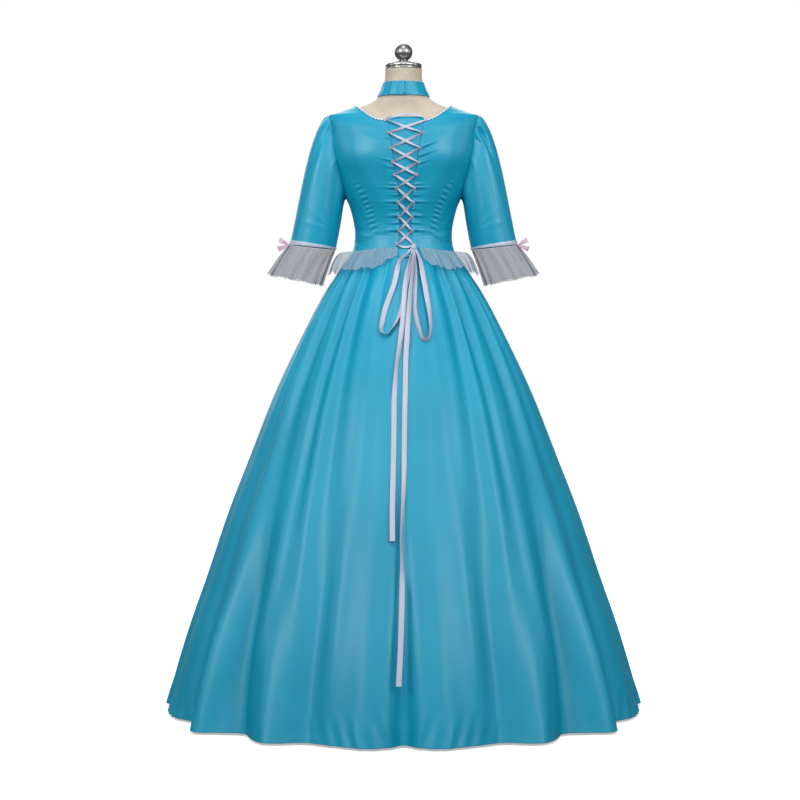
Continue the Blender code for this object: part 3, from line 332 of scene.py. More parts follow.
LACING_COLUMNS = ("height", "half_gap")
LACING = (
    (1.0300, 0.0200),
    (1.0545, 0.0175),
    (1.0835, 0.0130),
    (1.1130, 0.0119),
    (1.1436, 0.0136),
    (1.1766, 0.0164),
    (1.2080, 0.0215),
    (1.2390, 0.0265),
    (1.2720, 0.0305),
    (1.3060, 0.0361),
    (1.3400, 0.0418),
    (1.3550, 0.0430),
)
LOOP_HEIGHTS = (1.3360, 1.3080, 1.2745, 1.2420, 1.2145, 1.1855, 1.1535, 1.1210, 1.0895, 1.0580)

# Seam and neck lines on the right half: side distance and height
PRINCESS = (
    (0.0620, 1.0480),
    (0.0640, 1.0800),
    (0.0715, 1.1220),
    (0.0830, 1.1560),
    (0.1010, 1.1900),
    (0.1290, 1.2290),
    (0.1490, 1.2560),
)
BACK_NECKLINE = (
    (0.0510, 1.3390),
    (0.0640, 1.3440),
    (0.0860, 1.3590),
)
FRONT_NECKLINE = (
    (0.0000, 1.2950),
    (0.0420, 1.3030),
    (0.0660, 1.3270),
    (0.0840, 1.3570),
)

# Armhole edge, from the shoulder tip to the underarm: degrees away from the
# side line of the body, and height
ARMHOLE = (
    (0.0, 1.3545),
    (10.0, 1.3480),
    (15.0, 1.3290),
    (16.3, 1.2830),
    (18.6, 1.2560),
    (17.6, 1.2130),
    (15.8, 1.1900),
    (10.0, 1.1720),
    (0.0, 1.1660),
)

SKIRT_COLUMNS = ("height", "half_width", "depth")
SKIRT = (
    (0.000, 0.5500, 0.5500),
    (0.170, 0.4980, 0.4980),
    (0.308, 0.4485, 0.4485),
    (0.446, 0.4010, 0.3990),
    (0.584, 0.3470, 0.3430),
    (0.722, 0.2930, 0.2850),
    (0.860, 0.2290, 0.2150),
    (0.929, 0.1930, 0.1750),
    (0.998, 0.1500, 0.1250),
    (1.0465, 0.1168, 0.0868),
)

# Skirt folds of one half: place at the waist and at the hem (degrees from
# the centre back), spread (degrees) and height out of the cloth (metres) at
# the waist, half way down and at the hem. A negative height is a hollow.
FOLDS = (
    (0.0, 0.0, 2.4, 0.000, -0.002, -0.024),
    (9.0, 8.5, 4.0, 0.000, 0.001, 0.014),
    (33.0, 20.5, 4.5, -0.010, -0.009, -0.016),
    (37.0, 27.0, 2.8, 0.003, 0.007, 0.000),
    (41.0, 34.0, 2.6, -0.006, -0.006, 0.000),
    (50.0, 31.0, 4.5, 0.002, 0.005, 0.026),
    (57.0, 41.0, 3.6, -0.005, -0.006, -0.032),
    (61.0, 50.5, 4.0, 0.003, 0.008, 0.038),
    (66.0, 61.5, 3.6, -0.003, -0.005, -0.018),
    (72.0, 70.0, 3.0, 0.002, 0.004, 0.002),
    (80.0, 82.0, 3.2, -0.004, -0.005, -0.032),
    (94.0, 94.0, 3.2, -0.003, -0.004, -0.016),
    (103.0, 104.0, 4.0, 0.002, 0.005, 0.014),
    (112.0, 113.0, 3.6, -0.005, -0.006, -0.026),
    (121.0, 122.0, 4.2, 0.003, 0.006, 0.030),
    (130.0, 131.0, 3.4, -0.005, -0.006, -0.020),
    (138.0, 140.0, 4.2, 0.003, 0.006, 0.026),
    (146.0, 150.0, 3.8, -0.007, -0.008, -0.028),
    (155.0, 160.0, 4.0, 0.003, 0.005, 0.020),
    (165.0, 169.0, 3.8, -0.004, -0.005, -0.016),
    (180.0, 180.0, 6.0, 0.000, 0.002, 0.010),
)

# How far the dress form's surface lies inside the body surface
FORM_COLUMNS = ("height", "inset")
FORM = (
    (0.860, 0.0060),
    (1.000, 0.0060),
    (1.060, 0.0044),
    (1.250, 0.0038),
    (1.320, 0.0044),
    (1.357, 0.0076),
    (1.375, 0.0057),
    (1.392, 0.0028),
    (1.461, 0.0028),
)

# Ribbon routes on the gown's back: side, height, lift off the cloth, width
LOOP_LEFT = (
    (0.0164, 1.0422, 0.0095, 0.003),
    (0.0011, 1.0265, 0.0070, 0.004),
    (-0.0090, 1.0161, 0.0060, 0.006),
    (-0.0150, 0.9911, 0.0055, 0.011),
    (-0.0212, 0.9640, 0.0045, 0.011),
    (-0.0300, 0.9393, 0.0045, 0.010),
    (-0.0387, 0.9149, 0.0045, 0.010),
    (-0.0452, 0.8883, 0.0045, 0.009),
    (-0.0484, 0.8664, 0.0045, 0.006),
    (-0.0445, 0.8560, 0.0045, 0.004),
    (-0.0370, 0.8545, 0.0045, 0.004),
    (-0.0275, 0.8640, 0.0045, 0.005),
    (-0.0150, 0.8850, 0.0045, 0.008),
    (-0.0045, 0.9120, 0.0045, 0.009),
    (0.0011, 0.9393, 0.0045, 0.009),
    (0.0078, 0.9730, 0.0045, 0.008),
    (0.0130, 1.0024, 0.0045, 0.006),
    (0.0175, 1.0230, 0.0050, 0.004),
    (0.0190, 1.0385, 0.0065, 0.003),
)
LOOP_RIGHT = (
    (0.0266, 1.0410, 0.0085, 0.003),
    (0.0371, 1.0138, 0.0070, 0.010),
    (0.0414, 0.9843, 0.0085, 0.011),
    (0.0468, 0.9572, 0.0060, 0.011),
    (0.0521, 0.9282, 0.0045, 0.011),
    (0.0563, 0.8994, 0.0045, 0.010),
    (0.0584, 0.8708, 0.0045, 0.008),
    (0.0560, 0.8511, 0.0045, 0.005),
    (0.0483, 0.8420, 0.0045, 0.004),
    (0.0400, 0.8467, 0.0045, 0.004),
    (0.0341, 0.8642, 0.0045, 0.006),
    (0.0276, 0.8883, 0.0045, 0.008),
    (0.0239, 0.9149, 0.0045, 0.008),
    (0.0250, 0.9505, 0.0045, 0.008),
    (0.0262, 0.9843, 0.0045, 0.006),
    (0.0250, 1.0200, 0.0050, 0.004),
    (0.0245, 1.0385, 0.0065, 0.003),
)
TAIL_SHORT = (
    (0.0193, 1.0408, 0.0088, 0.0035),
    (0.0134, 1.0138, 0.0090, 0.006),
    (0.0067, 0.9820, 0.0085, 0.010),
    (0.0022, 0.9460, 0.0080, 0.011),
    (-0.0004, 0.9060, 0.0075, 0.011),
    (-0.0036, 0.8686, 0.0060, 0.011),
    (-0.0090, 0.8293, 0.0050, 0.009),
    (-0.0145, 0.7925, 0.0030, 0.007),
    (-0.0180, 0.7538, 0.0012, 0.009),
    (-0.0206, 0.7112, 0.0006, 0.011),
    (-0.0212, 0.6267, 0.0006, 0.011),
    (-0.0228, 0.5434, 0.0035, 0.011),
    (-0.0240, 0.4715, 0.0070, 0.011),
    (-0.0236, 0.4186, 0.0080, 0.011),
)
TAIL_LONG = (
    (0.0237, 1.0400, 0.0090, 0.0035),
    (0.0205, 1.0200, 0.0135, 0.005),
    (0.0185, 0.9956, 0.0130, 0.006),
    (0.0145, 0.9505, 0.0120, 0.008),
    (0.0105, 0.9016, 0.0110, 0.010),
    (0.0071, 0.8467, 0.0090, 0.011),
    (0.0044, 0.7925, 0.0035, 0.011),
    (0.0033, 0.7367, 0.0012, 0.011),
    (0.0019, 0.6688, 0.0000, 0.011),
    (0.0011, 0.6058, 0.0001, 0.011),
    (0.0002, 0.5434, 0.0035, 0.010),
    (-0.0028, 0.4777, 0.0070, 0.007),
    (-0.0057, 0.4206, 0.0080, 0.004),
    (-0.0040, 0.3700, 0.0090, 0.007),
    (-0.0036, 0.3157, 0.0100, 0.011),
    (-0.0048, 0.2600, 0.0110, 0.011),
    (-0.0064, 0.2106, 0.0120, 0.011),
    (-0.0085, 0.1616, 0.0130, 0.011),
    (-0.0105, 0.1262, 0.0140, 0.011),
)
RIBBON_ACROSS = 7
RIBBON_PINCH = (0.006, 0.030)
RIBBON_CLEAR = 0.0012
RIBBON_CUP = 0.05

# Ribbons of the bow: name, route, count of points, pinched ends
BOW_RIBBONS = (
    ("bow_tail_short", TAIL_SHORT, 150, (0,)),
    ("bow_tail_long", TAIL_LONG, 260, (0,)),
    ("bow_loop_left", LOOP_LEFT, 150, (0, 1)),
    ("bow_loop_right", LOOP_RIGHT, 150, (0, 1)),
)

# Lacing runs: name, side of the first corner, lift. The rows of the top and
# the foot are the share of the way to the edge, how far up or down, and width.
LACING_RUNS = (("lacing_under", -1, 0.0012), ("lacing_over", 1, 0.0027))
LACING_STEPS = 7
LACING_OFF_EDGE = 0.0015
LACING_NEAR = 0.0060
LACING_NEAR_WIDTH = 0.0034
LACING_CORNER_WIDTH = 0.0022
TOP_RUN = ((1.0, 0.0065, 0.0040), (0.55, 0.0108, 0.0052), (0.0, 0.0122, 0.0058))
TOP_RUN_LIFT = 0.0036
TOP_RUN_RISE = 0.0010
FOOT_RUN = ((0.0, 0.0070, 0.0052), (1.0, 0.0050, 0.0040))
FOOT_INSET = 0.005
FOOT_LIFT = 0.001
LOOP_ARC = (-0.62 * math.pi, 0.62 * math.pi, 15)
LOOP_REACH = 0.0034
LOOP_RISE = 0.0027
LOOP_LIFT = (0.0030, 0.0012)
LOOP_THREAD = 0.00075
LOOP_SIDES = 7

# Tab under the lacing, and the bow's knot; a knot's grid is its columns, its
# rows and how far from the poles it ends
TAB_SIDES = (-0.0095, 0.0135)
TAB_HEIGHTS = (1.0270, 1.0450)
TAB_COLUMNS = 16
TAB_ROWS = 14
TAB_LIFT = 0.0038
TAB_ROUND = 0.0016
KNOT_PLACE = (0.0215, 1.0484)
KNOT_LIFT = 0.0086
KNOT_RADII = (0.0060, 0.0055, 0.0075)
KNOT_GRID = (40, 26, 0.05)
KNOT_PLEAT = 0.05
KNOT_TWIST = 1.2
KNOT_FINE = 0.03
KNOT_BULGE = 0.06

# Lip of the lacing edges and the small creases that start there: height at
# the lacing, slope away from it, length, height out of the cloth, which side
LIP_HEIGHT = 0.0006
LIP = (0.0042, 0.0022)
PUCKER_STRENGTH = 2.1
PUCKER_START = 0.003
PUCKER_FADE = 0.75
PUCKER_RIDGE = 0.0028
PUCKER_HOLLOW = (-0.0054, 0.0030)
PUCKER_HOLLOW_SHARE = 0.6
PUCKERS = (
    (1.1930, 0.05, 0.024, 0.0009, 0),
    (1.1860, 0.02, 0.030, 0.0015, 0),
    (1.1690, 0.04, 0.022, 0.0007, 0),
    (1.1545, 0.02, 0.032, 0.0016, 0),
    (1.1380, -0.02, 0.022, 0.0008, 0),
    (1.1240, -0.04, 0.030, 0.0014, 0),
    (1.1080, -0.06, 0.024, 0.0010, 0),
    (1.0920, -0.06, 0.030, 0.0015, 0),
    (1.2440, 0.30, 0.030, 0.0009, -1),
    (1.2300, 0.22, 0.022, 0.0007, -1),
    (1.2740, 0.46, 0.040, 0.0014, 1),
    (1.2560, 0.40, 0.036, 0.0012, 1),
    (1.2400, 0.30, 0.026, 0.0008, 1),
    (1.2960, 0.30, 0.024, 0.0008, -1),
)

# Soft drags of the bodice: side, height, direction in degrees, half length,
# half width, height out of the cloth. The front has them nearer its middle,
# higher and leaning the other way.
FRONT_DRAG_SHARE = 0.92
FRONT_DRAG_RISE = 0.012
DRAGS = (
    (0.084, 1.112, 62.0, 0.050, 0.0075, 0.0014),
    (0.098, 1.130, 58.0, 0.050, 0.0070, -0.0014),
    (0.060, 1.178, 70.0, 0.055, 0.0100, 0.0012),
    (0.044, 1.205, 76.0, 0.050, 0.0090, -0.0010),
    (0.100, 1.240, 64.0, 0.060, 0.0120, 0.0012),
    (0.125, 1.292, 74.0, 0.050, 0.0100, -0.0012),
    (0.080, 1.300, 20.0, 0.040, 0.0100, 0.0010),
    (0.040, 1.150, 8.0, 0.035, 0.0060, 0.0006),
    (0.090, 1.080, 12.0, 0.035, 0.0060, 0.0010),
    (0.100, 1.064, 8.0, 0.030, 0.0045, -0.0008),
)

# Line where the lower bodice begins to flare, and the soft crease above it
FLARE_COLUMNS = ("side", "height")
FLARE = ((0.000, 1.0780), (0.017, 1.0773), (0.062, 1.0750), (0.085, 1.0640), (0.104, 1.0480))
FLARE_HEIGHT = 0.0017
FLARE_REACH = 0.014
FLARE_GROWTH = (0.030, 0.050)
FLARE_LEAST = 0.35
FLARE_FOOT = (1.0395, 0.010)
CREASE_DEPTH = 0.0010
CREASE_ABOVE = (0.0015, 0.0050)
CREASE_SIDE = (0.060, 0.050)
ROLL_START = (1.066, 0.014)

# Ripple of the cloth beside the princess seam
RIPPLE_HEIGHT = 0.0012
RIPPLE_LENGTH = 0.0132
RIPPLE_SHIFT = ((1.3, 61.0, 0.0),)
RIPPLE_SLANT = 200.0
RIPPLE_OFF_SEAM = (0.002, 0.0075)
RIPPLE_START = (1.080, 0.014)
RIPPLE_END = (1.212, 0.030)

# Fullness over each shoulder blade
BLADE_SIDE = (0.095, 0.065)
BLADE_LEVEL = (1.262, 0.034)
BLADE_HEIGHT = 0.0065

# Folds of a sleeve: turn from its outer side (degrees, forwards first),
# drift down the sleeve, spread, height, and where it starts, peaks and ends
SLEEVE_FOLDS = (
    (236.0, -8.0, 16.0, -0.0016, 0.02, 0.30, 0.95),
    (290.0, 6.0, 26.0, 0.0046, 0.02, 0.24, 0.85),
    (286.0, 4.0, 14.0, -0.0012, 0.03, 0.28, 0.80),
    (306.0, 4.0, 15.0, 0.0018, 0.04, 0.45, 1.00),
    (330.0, 2.0, 13.0, -0.0016, 0.05, 0.40, 1.00),
    (20.0, -2.0, 14.0, 0.0016, 0.04, 0.40, 1.00),
    (68.0, -6.0, 26.0, 0.0040, 0.02, 0.24, 0.85),
    (46.0, -2.0, 14.0, -0.0012, 0.04, 0.40, 1.00),
    (96.0, 4.0, 14.0, -0.0016, 0.05, 0.35, 0.90),
    (124.0, 6.0, 15.0, -0.0024, 0.02, 0.30, 1.00),
    (180.0, 0.0, 16.0, 0.0016, 0.10, 0.50, 1.00),
    (346.0, 0.0, 5.0, 0.0012, 0.00, 0.05, 0.20),
    (354.0, 0.0, 4.0, -0.0012, 0.00, 0.05, 0.20),
    (2.0, 0.0, 5.0, 0.0012, 0.00, 0.06, 0.22),
    (11.0, 0.0, 4.5, -0.0012, 0.00, 0.05, 0.20),
)
RIGHT_TUCKS = (
    (338.0, -4.0, 5.0, 0.0052, 0.00, 0.07, 0.34),
    (327.0, -8.0, 5.5, -0.0066, 0.00, 0.10, 0.46),
    (316.0, -6.0, 5.0, 0.0044, 0.00, 0.10, 0.40),
)
LEFT_TUCKS = (
    (334.0, -3.0, 4.0, 0.0022, 0.00, 0.04, 0.16),
    (325.0, -4.0, 4.0, -0.0014, 0.00, 0.06, 0.24),
)

# Creases across a sleeve: place down it, turn, half width in turn, lean,
# spread along the sleeve, height
SLEEVE_CREASES = (
    (0.80, 285.0, 40.0, 0.020, 0.020, 0.0005),
    (0.72, 262.0, 36.0, -0.025, 0.016, 0.0004),
    (0.62, 240.0, 30.0, -0.030, 0.018, 0.0004),
    (0.33, 240.0, 26.0, -0.060, 0.018, 0.0005),
    (0.84, 60.0, 44.0, -0.020, 0.020, 0.0005),
    (0.70, 100.0, 38.0, 0.030, 0.018, 0.0005),
    (0.30, 118.0, 28.0, 0.060, 0.020, 0.0005),
)

# Uneven gathers of half a skirt. Heights and ends are drawn between a least
# value and what is added to it, with a power that keeps most of them small.
GATHER_COUNT = 28
GATHER_SEED = 5
GATHER_SHIFT = 0.3
GATHER_SPREADS = (0.75, 1.25)
GATHER_HEIGHTS = (0.0008, 0.0034, 1.5)
GATHER_ENDS = (0.06, 0.16, 1.4)
GATHER_DRIFT = 1.2
GATHER_RISE = (0.004, 0.045)

# Soft folds of one half: place at the waist and at the hem, spread, height,
# and where down the skirt each starts, peaks and ends
SOFT_FOLDS = (
    (16.0, 12.0, 2.0, -0.0031, 0.00, 0.05, 0.24),
    (24.5, 17.0, 3.2, 0.0039, 0.00, 0.07, 0.37),
    (36.5, 26.0, 2.0, 0.0048, 0.00, 0.06, 0.37),
    (41.0, 33.0, 2.2, -0.0048, 0.00, 0.07, 0.40),
    (47.0, 31.0, 2.2, 0.0036, 0.00, 0.07, 0.44),
    (56.5, 41.0, 2.6, -0.0050, 0.00, 0.10, 0.55),
    (61.5, 50.5, 2.4, 0.0050, 0.00, 0.10, 0.55),
    (70.0, 68.0, 2.0, 0.0042, 0.00, 0.08, 0.44),
    (76.0, 77.0, 1.8, -0.0042, 0.00, 0.08, 0.44),
    (96.0, 97.0, 2.2, 0.0048, 0.00, 0.08, 0.46),
    (118.0, 120.0, 2.4, -0.0050, 0.00, 0.09, 0.50),
    (134.0, 136.0, 2.4, -0.0048, 0.00, 0.08, 0.48),
    (142.0, 145.0, 2.6, 0.0050, 0.00, 0.09, 0.53),
    (160.0, 164.0, 2.4, -0.0045, 0.00, 0.07, 0.42),
    (6.0, 5.0, 1.6, 0.0008, 0.05, 0.30, 0.80),
    (12.5, 8.5, 1.9, -0.0008, 0.04, 0.35, 0.85),
    (18.0, 11.5, 1.7, 0.0010, 0.05, 0.30, 0.80),
    (23.0, 14.5, 1.6, -0.0008, 0.04, 0.28, 0.75),
    (28.0, 17.0, 1.5, 0.0010, 0.03, 0.20, 0.60),
    (43.5, 24.0, 1.5, 0.0010, 0.05, 0.30, 0.70),
    (46.5, 37.5, 1.8, -0.0012, 0.08, 0.40, 0.95),
    (54.0, 44.0, 2.0, 0.0012, 0.10, 0.45, 1.00),
    (63.5, 56.5, 2.0, -0.0012, 0.10, 0.50, 1.00),
    (69.0, 66.0, 2.0, 0.0012, 0.08, 0.40, 1.00),
    (76.0, 76.0, 2.0, 0.0022, 0.08, 0.50, 1.00),
    (87.0, 88.0, 2.0, 0.0024, 0.08, 0.50, 1.00),
    (99.0, 99.0, 2.0, -0.0020, 0.08, 0.40, 1.00),
    (107.5, 108.0, 2.2, 0.0022, 0.08, 0.50, 1.00),
    (126.0, 127.0, 2.0, -0.0022, 0.08, 0.45, 1.00),
    (151.0, 155.0, 2.0, 0.0022, 0.08, 0.45, 1.00),
    (172.0, 175.0, 2.2, 0.0022, 0.08, 0.50, 1.00),
    (0.0, 0.0, 2.6, -0.0050, 0.45, 0.95, 1.70),
    (15.0, 18.6, 2.6, 0.0045, 0.35, 0.88, 1.70),
    (19.0, 24.0, 2.6, -0.0055, 0.35, 0.88, 1.70),
    (34.0, 40.6, 2.6, 0.0045, 0.35, 0.88, 1.70),
    (40.0, 47.0, 2.6, -0.0055, 0.35, 0.88, 1.70),
    (47.0, 54.0, 2.6, 0.0040, 0.35, 0.88, 1.70),
)

# Colours and materials
WHITE = (1.0, 1.0, 1.0, 1.0)
# Pink of the small bows and the lacing loops; also the painted shade towards the edges of the other
# ribbons
PINK = (0.55, 0.37, 0.47, 1.0)
PALE_BLUE = (0.40, 0.46, 0.57, 1.0)
SOFT_SHEEN = {"Specular IOR Level": 0.38}
LITTLE_SHEEN = {"Specular IOR Level": 0.1}
METALLIC = {"Metallic": 1.0}
GLOW = {"Emission Color": WHITE, "Emission Strength": FLOOR_GLOW}
NOISE_SPAN = (0.32, 0.68)
# Where the painted pink shade towards a ribbon's edges begins and ends, as a share of its half
# width
EDGE_SHADE_SPAN = (0.68, 1.00)
NET_RUN = 10.0

# Surfaces: name, colour, roughness, further settings of the shader, how far
# the colour changes over the piece, and how fine that change is
SURFACES = {
    "satin": ("satin_cloth", (0.001, 0.272, 0.428, 1.0), 0.41, SOFT_SHEEN, 0.05, 7.0),
    "tulle": ("tulle_net", (0.185, 0.202, 0.255, 1.0), 0.8, LITTLE_SHEEN, 0.06, 45.0),
    "peplum_tulle": ("waist_net", (0.31, 0.40, 0.47, 1.0), 0.8, LITTLE_SHEEN, 0.06, 45.0),
    "ribbon": ("ribbon_satin", PALE_BLUE, 0.42, {}, 0.05, 60.0),
    "picot": ("picot_thread", (0.74, 0.77, 0.82, 1.0), 0.6, {}, 0.0, 0.0),
    "wide_ribbon": ("wide_ribbon_satin", PALE_BLUE, 0.42, {}, 0.0, 0.0),
    "lacing_ribbon": ("lacing_ribbon_satin", PALE_BLUE, 0.42, {}, 0.0, 0.0),
    "ribbon_edge": ("ribbon_pink", PINK, 0.45, {}, 0.10, 60.0),
    "linen": ("linen_cover", (0.47, 0.405, 0.33, 1.0), 0.85, {}, 0.07, 30.0),
    "metal": ("polished_metal", (0.42, 0.41, 0.42, 1.0), 0.30, METALLIC, 0.0, 0.0),
    "dark_metal": ("dark_metal", (0.30, 0.29, 0.29, 1.0), 0.34, METALLIC, 0.0, 0.0),
    "floor": ("pale_floor", (0.93, 0.93, 0.93, 1.0), 0.9, GLOW, 0.0, 0.0),
}

# Weaves: threads a metre across and up, depth, strength
WEAVES = {
    "satin": ((260.0, 1500.0, 1.0), 0.0004, 0.10),
    "linen": ((900.0, 900.0, 1.0), 0.0006, 0.35),
}

# Nets: cover, streaks a metre, change of the cover
NETS = {"tulle": (0.50, 120.0, 0.14), "peplum_tulle": (0.48, 190.0, 0.28)}
RIBBON_WIDTHS = {"wide_ribbon": RIBBON_WIDTH, "lacing_ribbon": LACING_WIDTH}


def eased(s):
    """From 0 to 1 with soft ends."""
    return (3 - 2 * s) * s * s


def climb(value, start, reach):
    """From 0 to 1 over a reach that begins at start."""
    return np.clip((value - start) / reach, 0.0, 1.0)


def fall(value, end, reach):
    """From 1 to 0 over a reach that ends at end."""
    return np.clip((end - value) / reach, 0.0, 1.0)


def blend(start, end, share):
    """Between two values or grids: the start at share 0, the end at 1."""
    return start * (1 - share) + end * share


def monotone(xs, ys, at):
    """Smooth curve through the points (xs, ys) that never overshoots."""
    xs = np.asarray(xs, dtype=float)
    ys = np.asarray(ys, dtype=float)
    at = np.clip(np.asarray(at, dtype=float), xs[0], xs[-1])
    step = np.diff(xs)
    slope = np.diff(ys) / step
    tangent = np.zeros(len(xs))
    tangent[0] = slope[0]
    tangent[-1] = slope[-1]
    product = slope[:-1] * slope[1:]
    safe = np.where(product > 0, slope[:-1] + slope[1:], 1.0)
    tangent[1:-1] = np.where(product > 0, 2 * product / safe, 0.0)
    i = np.clip(np.searchsorted(xs, at) - 1, 0, len(xs) - 2)
    s = (at - xs[i]) / step[i]
    start_lean = s * (1 - s) ** 2 * step[i] * tangent[i]
    end_lean = s * s * (1 - s) * step[i] * tangent[i + 1]
    return ys[i] * (1 - eased(s)) + ys[i + 1] * eased(s) + start_lean - end_lean


def size(rows, columns, name, height):
    """A named column of a table of rows at a height."""
    table = np.array(rows)
    return monotone(table[:, 0], table[:, columns.index(name)], height)


def points_of(*parts):
    """Points from their coordinates, which may be grids."""
    return np.stack(np.broadcast_arrays(*parts), axis=-1)


def unit(vectors):
    """The vectors at length one."""
    return vectors / np.linalg.norm(vectors, axis=-1, keepdims=True)


def ways(points, axis=0):
    """Distance from each point of a line or grid to the next."""
    return np.linalg.norm(np.diff(points, axis=axis), axis=-1)


def running(steps):
    """Running total of the steps, from nothing."""
    return np.concatenate([0 * steps[:1], np.cumsum(steps, axis=0)])


def shares(line):
    """How far along a line each of its points lies, from 0 to 1."""
    places = running(ways(line))
    return places / places[-1]


def read_off(at, places, points):
    """Points of a line at other places along it."""
    return np.stack([np.interp(at, places, column) for column in points.T], axis=-1)


def resample(points, count):
    """The same line with count points evenly spaced along it."""
    places = running(ways(points))
    return read_off(np.linspace(0.0, places[-1], count), places, points)


def through(points, count):
    """A smooth line through a few points, with count points evenly spaced."""
    points = np.array(points, dtype=float)
    places = running(ways(points))
    fine_at = np.linspace(0.0, places[-1], FINE_STEPS)
    fine = np.stack([monotone(places, column, fine_at) for column in points.T], axis=1)
    return resample(fine, count)


def closed(grid, axis=0):
    """A line or grid with its first row again at its end."""
    return np.concatenate([grid, np.take(grid, [0], axis=axis)], axis=axis)


def bell(value, centre, reach):
    """Soft bell of height one round a centre."""
    return np.exp(-(((value - centre) / reach) ** 2))


def along_fold(down, start, peak, end):
    """How strong a fold is at each place down the cloth, from 0 to 1."""
    rise = climb(down, start, max(peak - start, TINY))
    return eased(np.minimum(rise, fall(down, end, max(end - peak, TINY))))


def waves(x, terms):
    """Sum of sine waves, each with its height, rate and start."""
    return sum(height * np.sin(rate * x + start) for height, rate, start in terms)


def turn_apart(degrees, other):
    """Smallest difference of two angles."""
    return (degrees - other + 180.0) % 360.0 - 180.0


# The body surface, which is the bodice's outer face


def body_width(height):
    """Half width of the body at a height."""
    return size(BODY, BODY_COLUMNS, "half_width", height)


def body_sizes(height, front):
    """Half width and depth of the body's section, front or back."""
    back = size(BODY, BODY_COLUMNS, "back_depth", height)
    fore = size(BODY, BODY_COLUMNS, "front_depth", height)
    return body_width(height), np.where(front, fore, back)


def body_at_side(side, height, front):
    """Point of the body surface at a side distance and a height."""
    half_width, depth = body_sizes(height, front)
    rest = np.sqrt(np.clip(1 - (side / half_width) ** 2, 0.0, 1.0))
    return points_of(side, np.where(front, 1.0, -1.0) * depth * rest, height)


def body_at_angle(degrees, height):
    """Point of the body surface at an angle from the centre back."""
    angle = np.radians(degrees)
    half_width, depth = body_sizes(height, np.cos(angle) < 0)
    return points_of(half_width * np.sin(angle), -depth * np.cos(angle), height)


def body_out(points, distance):
    """Points of the body surface moved out along its normal."""
    x, y, z = np.moveaxis(points, -1, 0)
    front = y > 0
    half_width, depth = body_sizes(z, front)
    wide_up, deep_up = body_sizes(z + SLOPE_STEP, front)
    wide_down, deep_down = body_sizes(z - SLOPE_STEP, front)
    wide_slope = (wide_up - wide_down) / (2 * SLOPE_STEP)
    deep_slope = (deep_up - deep_down) / (2 * SLOPE_STEP)
    lean = -(x**2) * wide_slope / half_width**3 - y**2 * deep_slope / depth**3
    normal = unit(points_of(x / half_width**2, y / depth**2, lean))
    return points + normal * np.asarray(distance)[..., None]


def ridge_height(side):
    """Height of the shoulder line at a side distance."""
    low = np.full(np.shape(side), SHOULDER_TIP_HEIGHT)
    high = np.full(np.shape(side), NECK_TOP)
    for _ in range(HALVINGS):
        middle = (low + high) / 2
        inside = body_width(middle) > side
        low = np.where(inside, middle, low)
        high = np.where(inside, high, middle)
    return (low + high) / 2


def waist_height(degrees):
    """Height of the waist seam at an angle from the centre back."""
    return WAIST_HEIGHT + WAIST_DIP * np.cos(2 * np.radians(degrees))


# Meshes


def cloth_coordinates(points):
    """Coordinates in metres along both ways of a grid, at each point."""
    u = running(ways(points).mean(axis=1))
    v = running(ways(points, 1).mean(axis=0))
    return np.stack(np.meshgrid(u, v, indexing="ij"), axis=-1)


def corners(grid):
    """The four corners of each cell of a grid, going round it."""
    return np.stack([grid[:-1, :-1], grid[1:, :-1], grid[1:, 1:], grid[:-1, 1:]], axis=2)


def grid_piece(name, grids):
    """One smooth object from grids of points: (points, wraps_u, wraps_v)."""
    all_points, all_faces, all_uv = [], [], []
    offset = 0
    for points, wraps_u, wraps_v in grids:
        index = np.arange(points[..., 0].size).reshape(points.shape[:2]) + offset
        offset += index.size
        all_points.append(points.reshape(-1, 3))
        if wraps_u:
            index, points = closed(index), closed(points)
        if wraps_v:
            index, points = closed(index, 1), closed(points, 1)
        all_faces.append(corners(index).reshape(-1, 4))
        all_uv.append(corners(cloth_coordinates(points)).reshape(-1, 2))
    mesh = bpy.data.meshes.new(name)
    mesh.from_pydata(np.concatenate(all_points).tolist(), [], np.concatenate(all_faces).tolist())
    layer = mesh.uv_layers.new(name="cloth")
    layer.data.foreach_set("uv", np.concatenate(all_uv).astype(np.float32).ravel())
    mesh.shade_smooth()
    piece = bpy.data.objects.new(name, mesh)
    bpy.context.scene.collection.objects.link(piece)
    return piece


def lay(name, node, kind, grids, slot=None, thick=0.0, on_form=False):
    """A piece from its grids, in its material, standing for its node.

    Cloth gets its thickness inwards, with crisp cut edges. Where it lies on
    the form, only its rim is drawn.
    """
    piece = grid_piece(name, grids)
    if thick:
        solid = piece.modifiers.new("Cloth", "SOLIDIFY")
        solid.thickness = thick
        solid.offset = -1.0
        solid.use_rim_only = on_form
        crisp = piece.modifiers.new("Cut edges", "EDGE_SPLIT")
        crisp.split_angle = math.radians(CRISP_ANGLE)
    piece.data.materials.append(MATERIALS[kind])
    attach(piece, "root")
    if node:
        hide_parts(node)
    return piece


def lay_cloth(node, suffix, kind, points, held, rests_on=(), wraps=False, **cloth):
    """A cloth piece of one grid."""
    piece = lay(f"{node}_{suffix}", node, kind, [(points, wraps, False)], **cloth)
    points = closed(points) if wraps else points
    across = ways(points)
    up = ways(points, 1)


def grid_out(points, distance):
    """A grid that wraps round, moved out along its own normals."""
    across = np.roll(points, -1, axis=0) - np.roll(points, 1, axis=0)
    normal = unit(np.cross(across, np.gradient(points, axis=1)))
    return points + normal * np.asarray(distance)[..., None]


def mirrored(points):
    """The grid on the other side of the gown, still facing out."""
    return (points * MIRROR)[::-1]


def tube(line, radius, sides, first):
    """Round tube along a line of points; first is a direction off the line."""
    along = unit(np.gradient(line, axis=0))
    side = unit(np.cross(along, first))
    other = np.cross(along, side)
    angle = np.linspace(0.0, FULL_TURN, sides, endpoint=False)[None, :, None]
    ring = side[:, None] * np.cos(angle) + other[:, None] * np.sin(angle)
    return line[:, None] + ring * radius


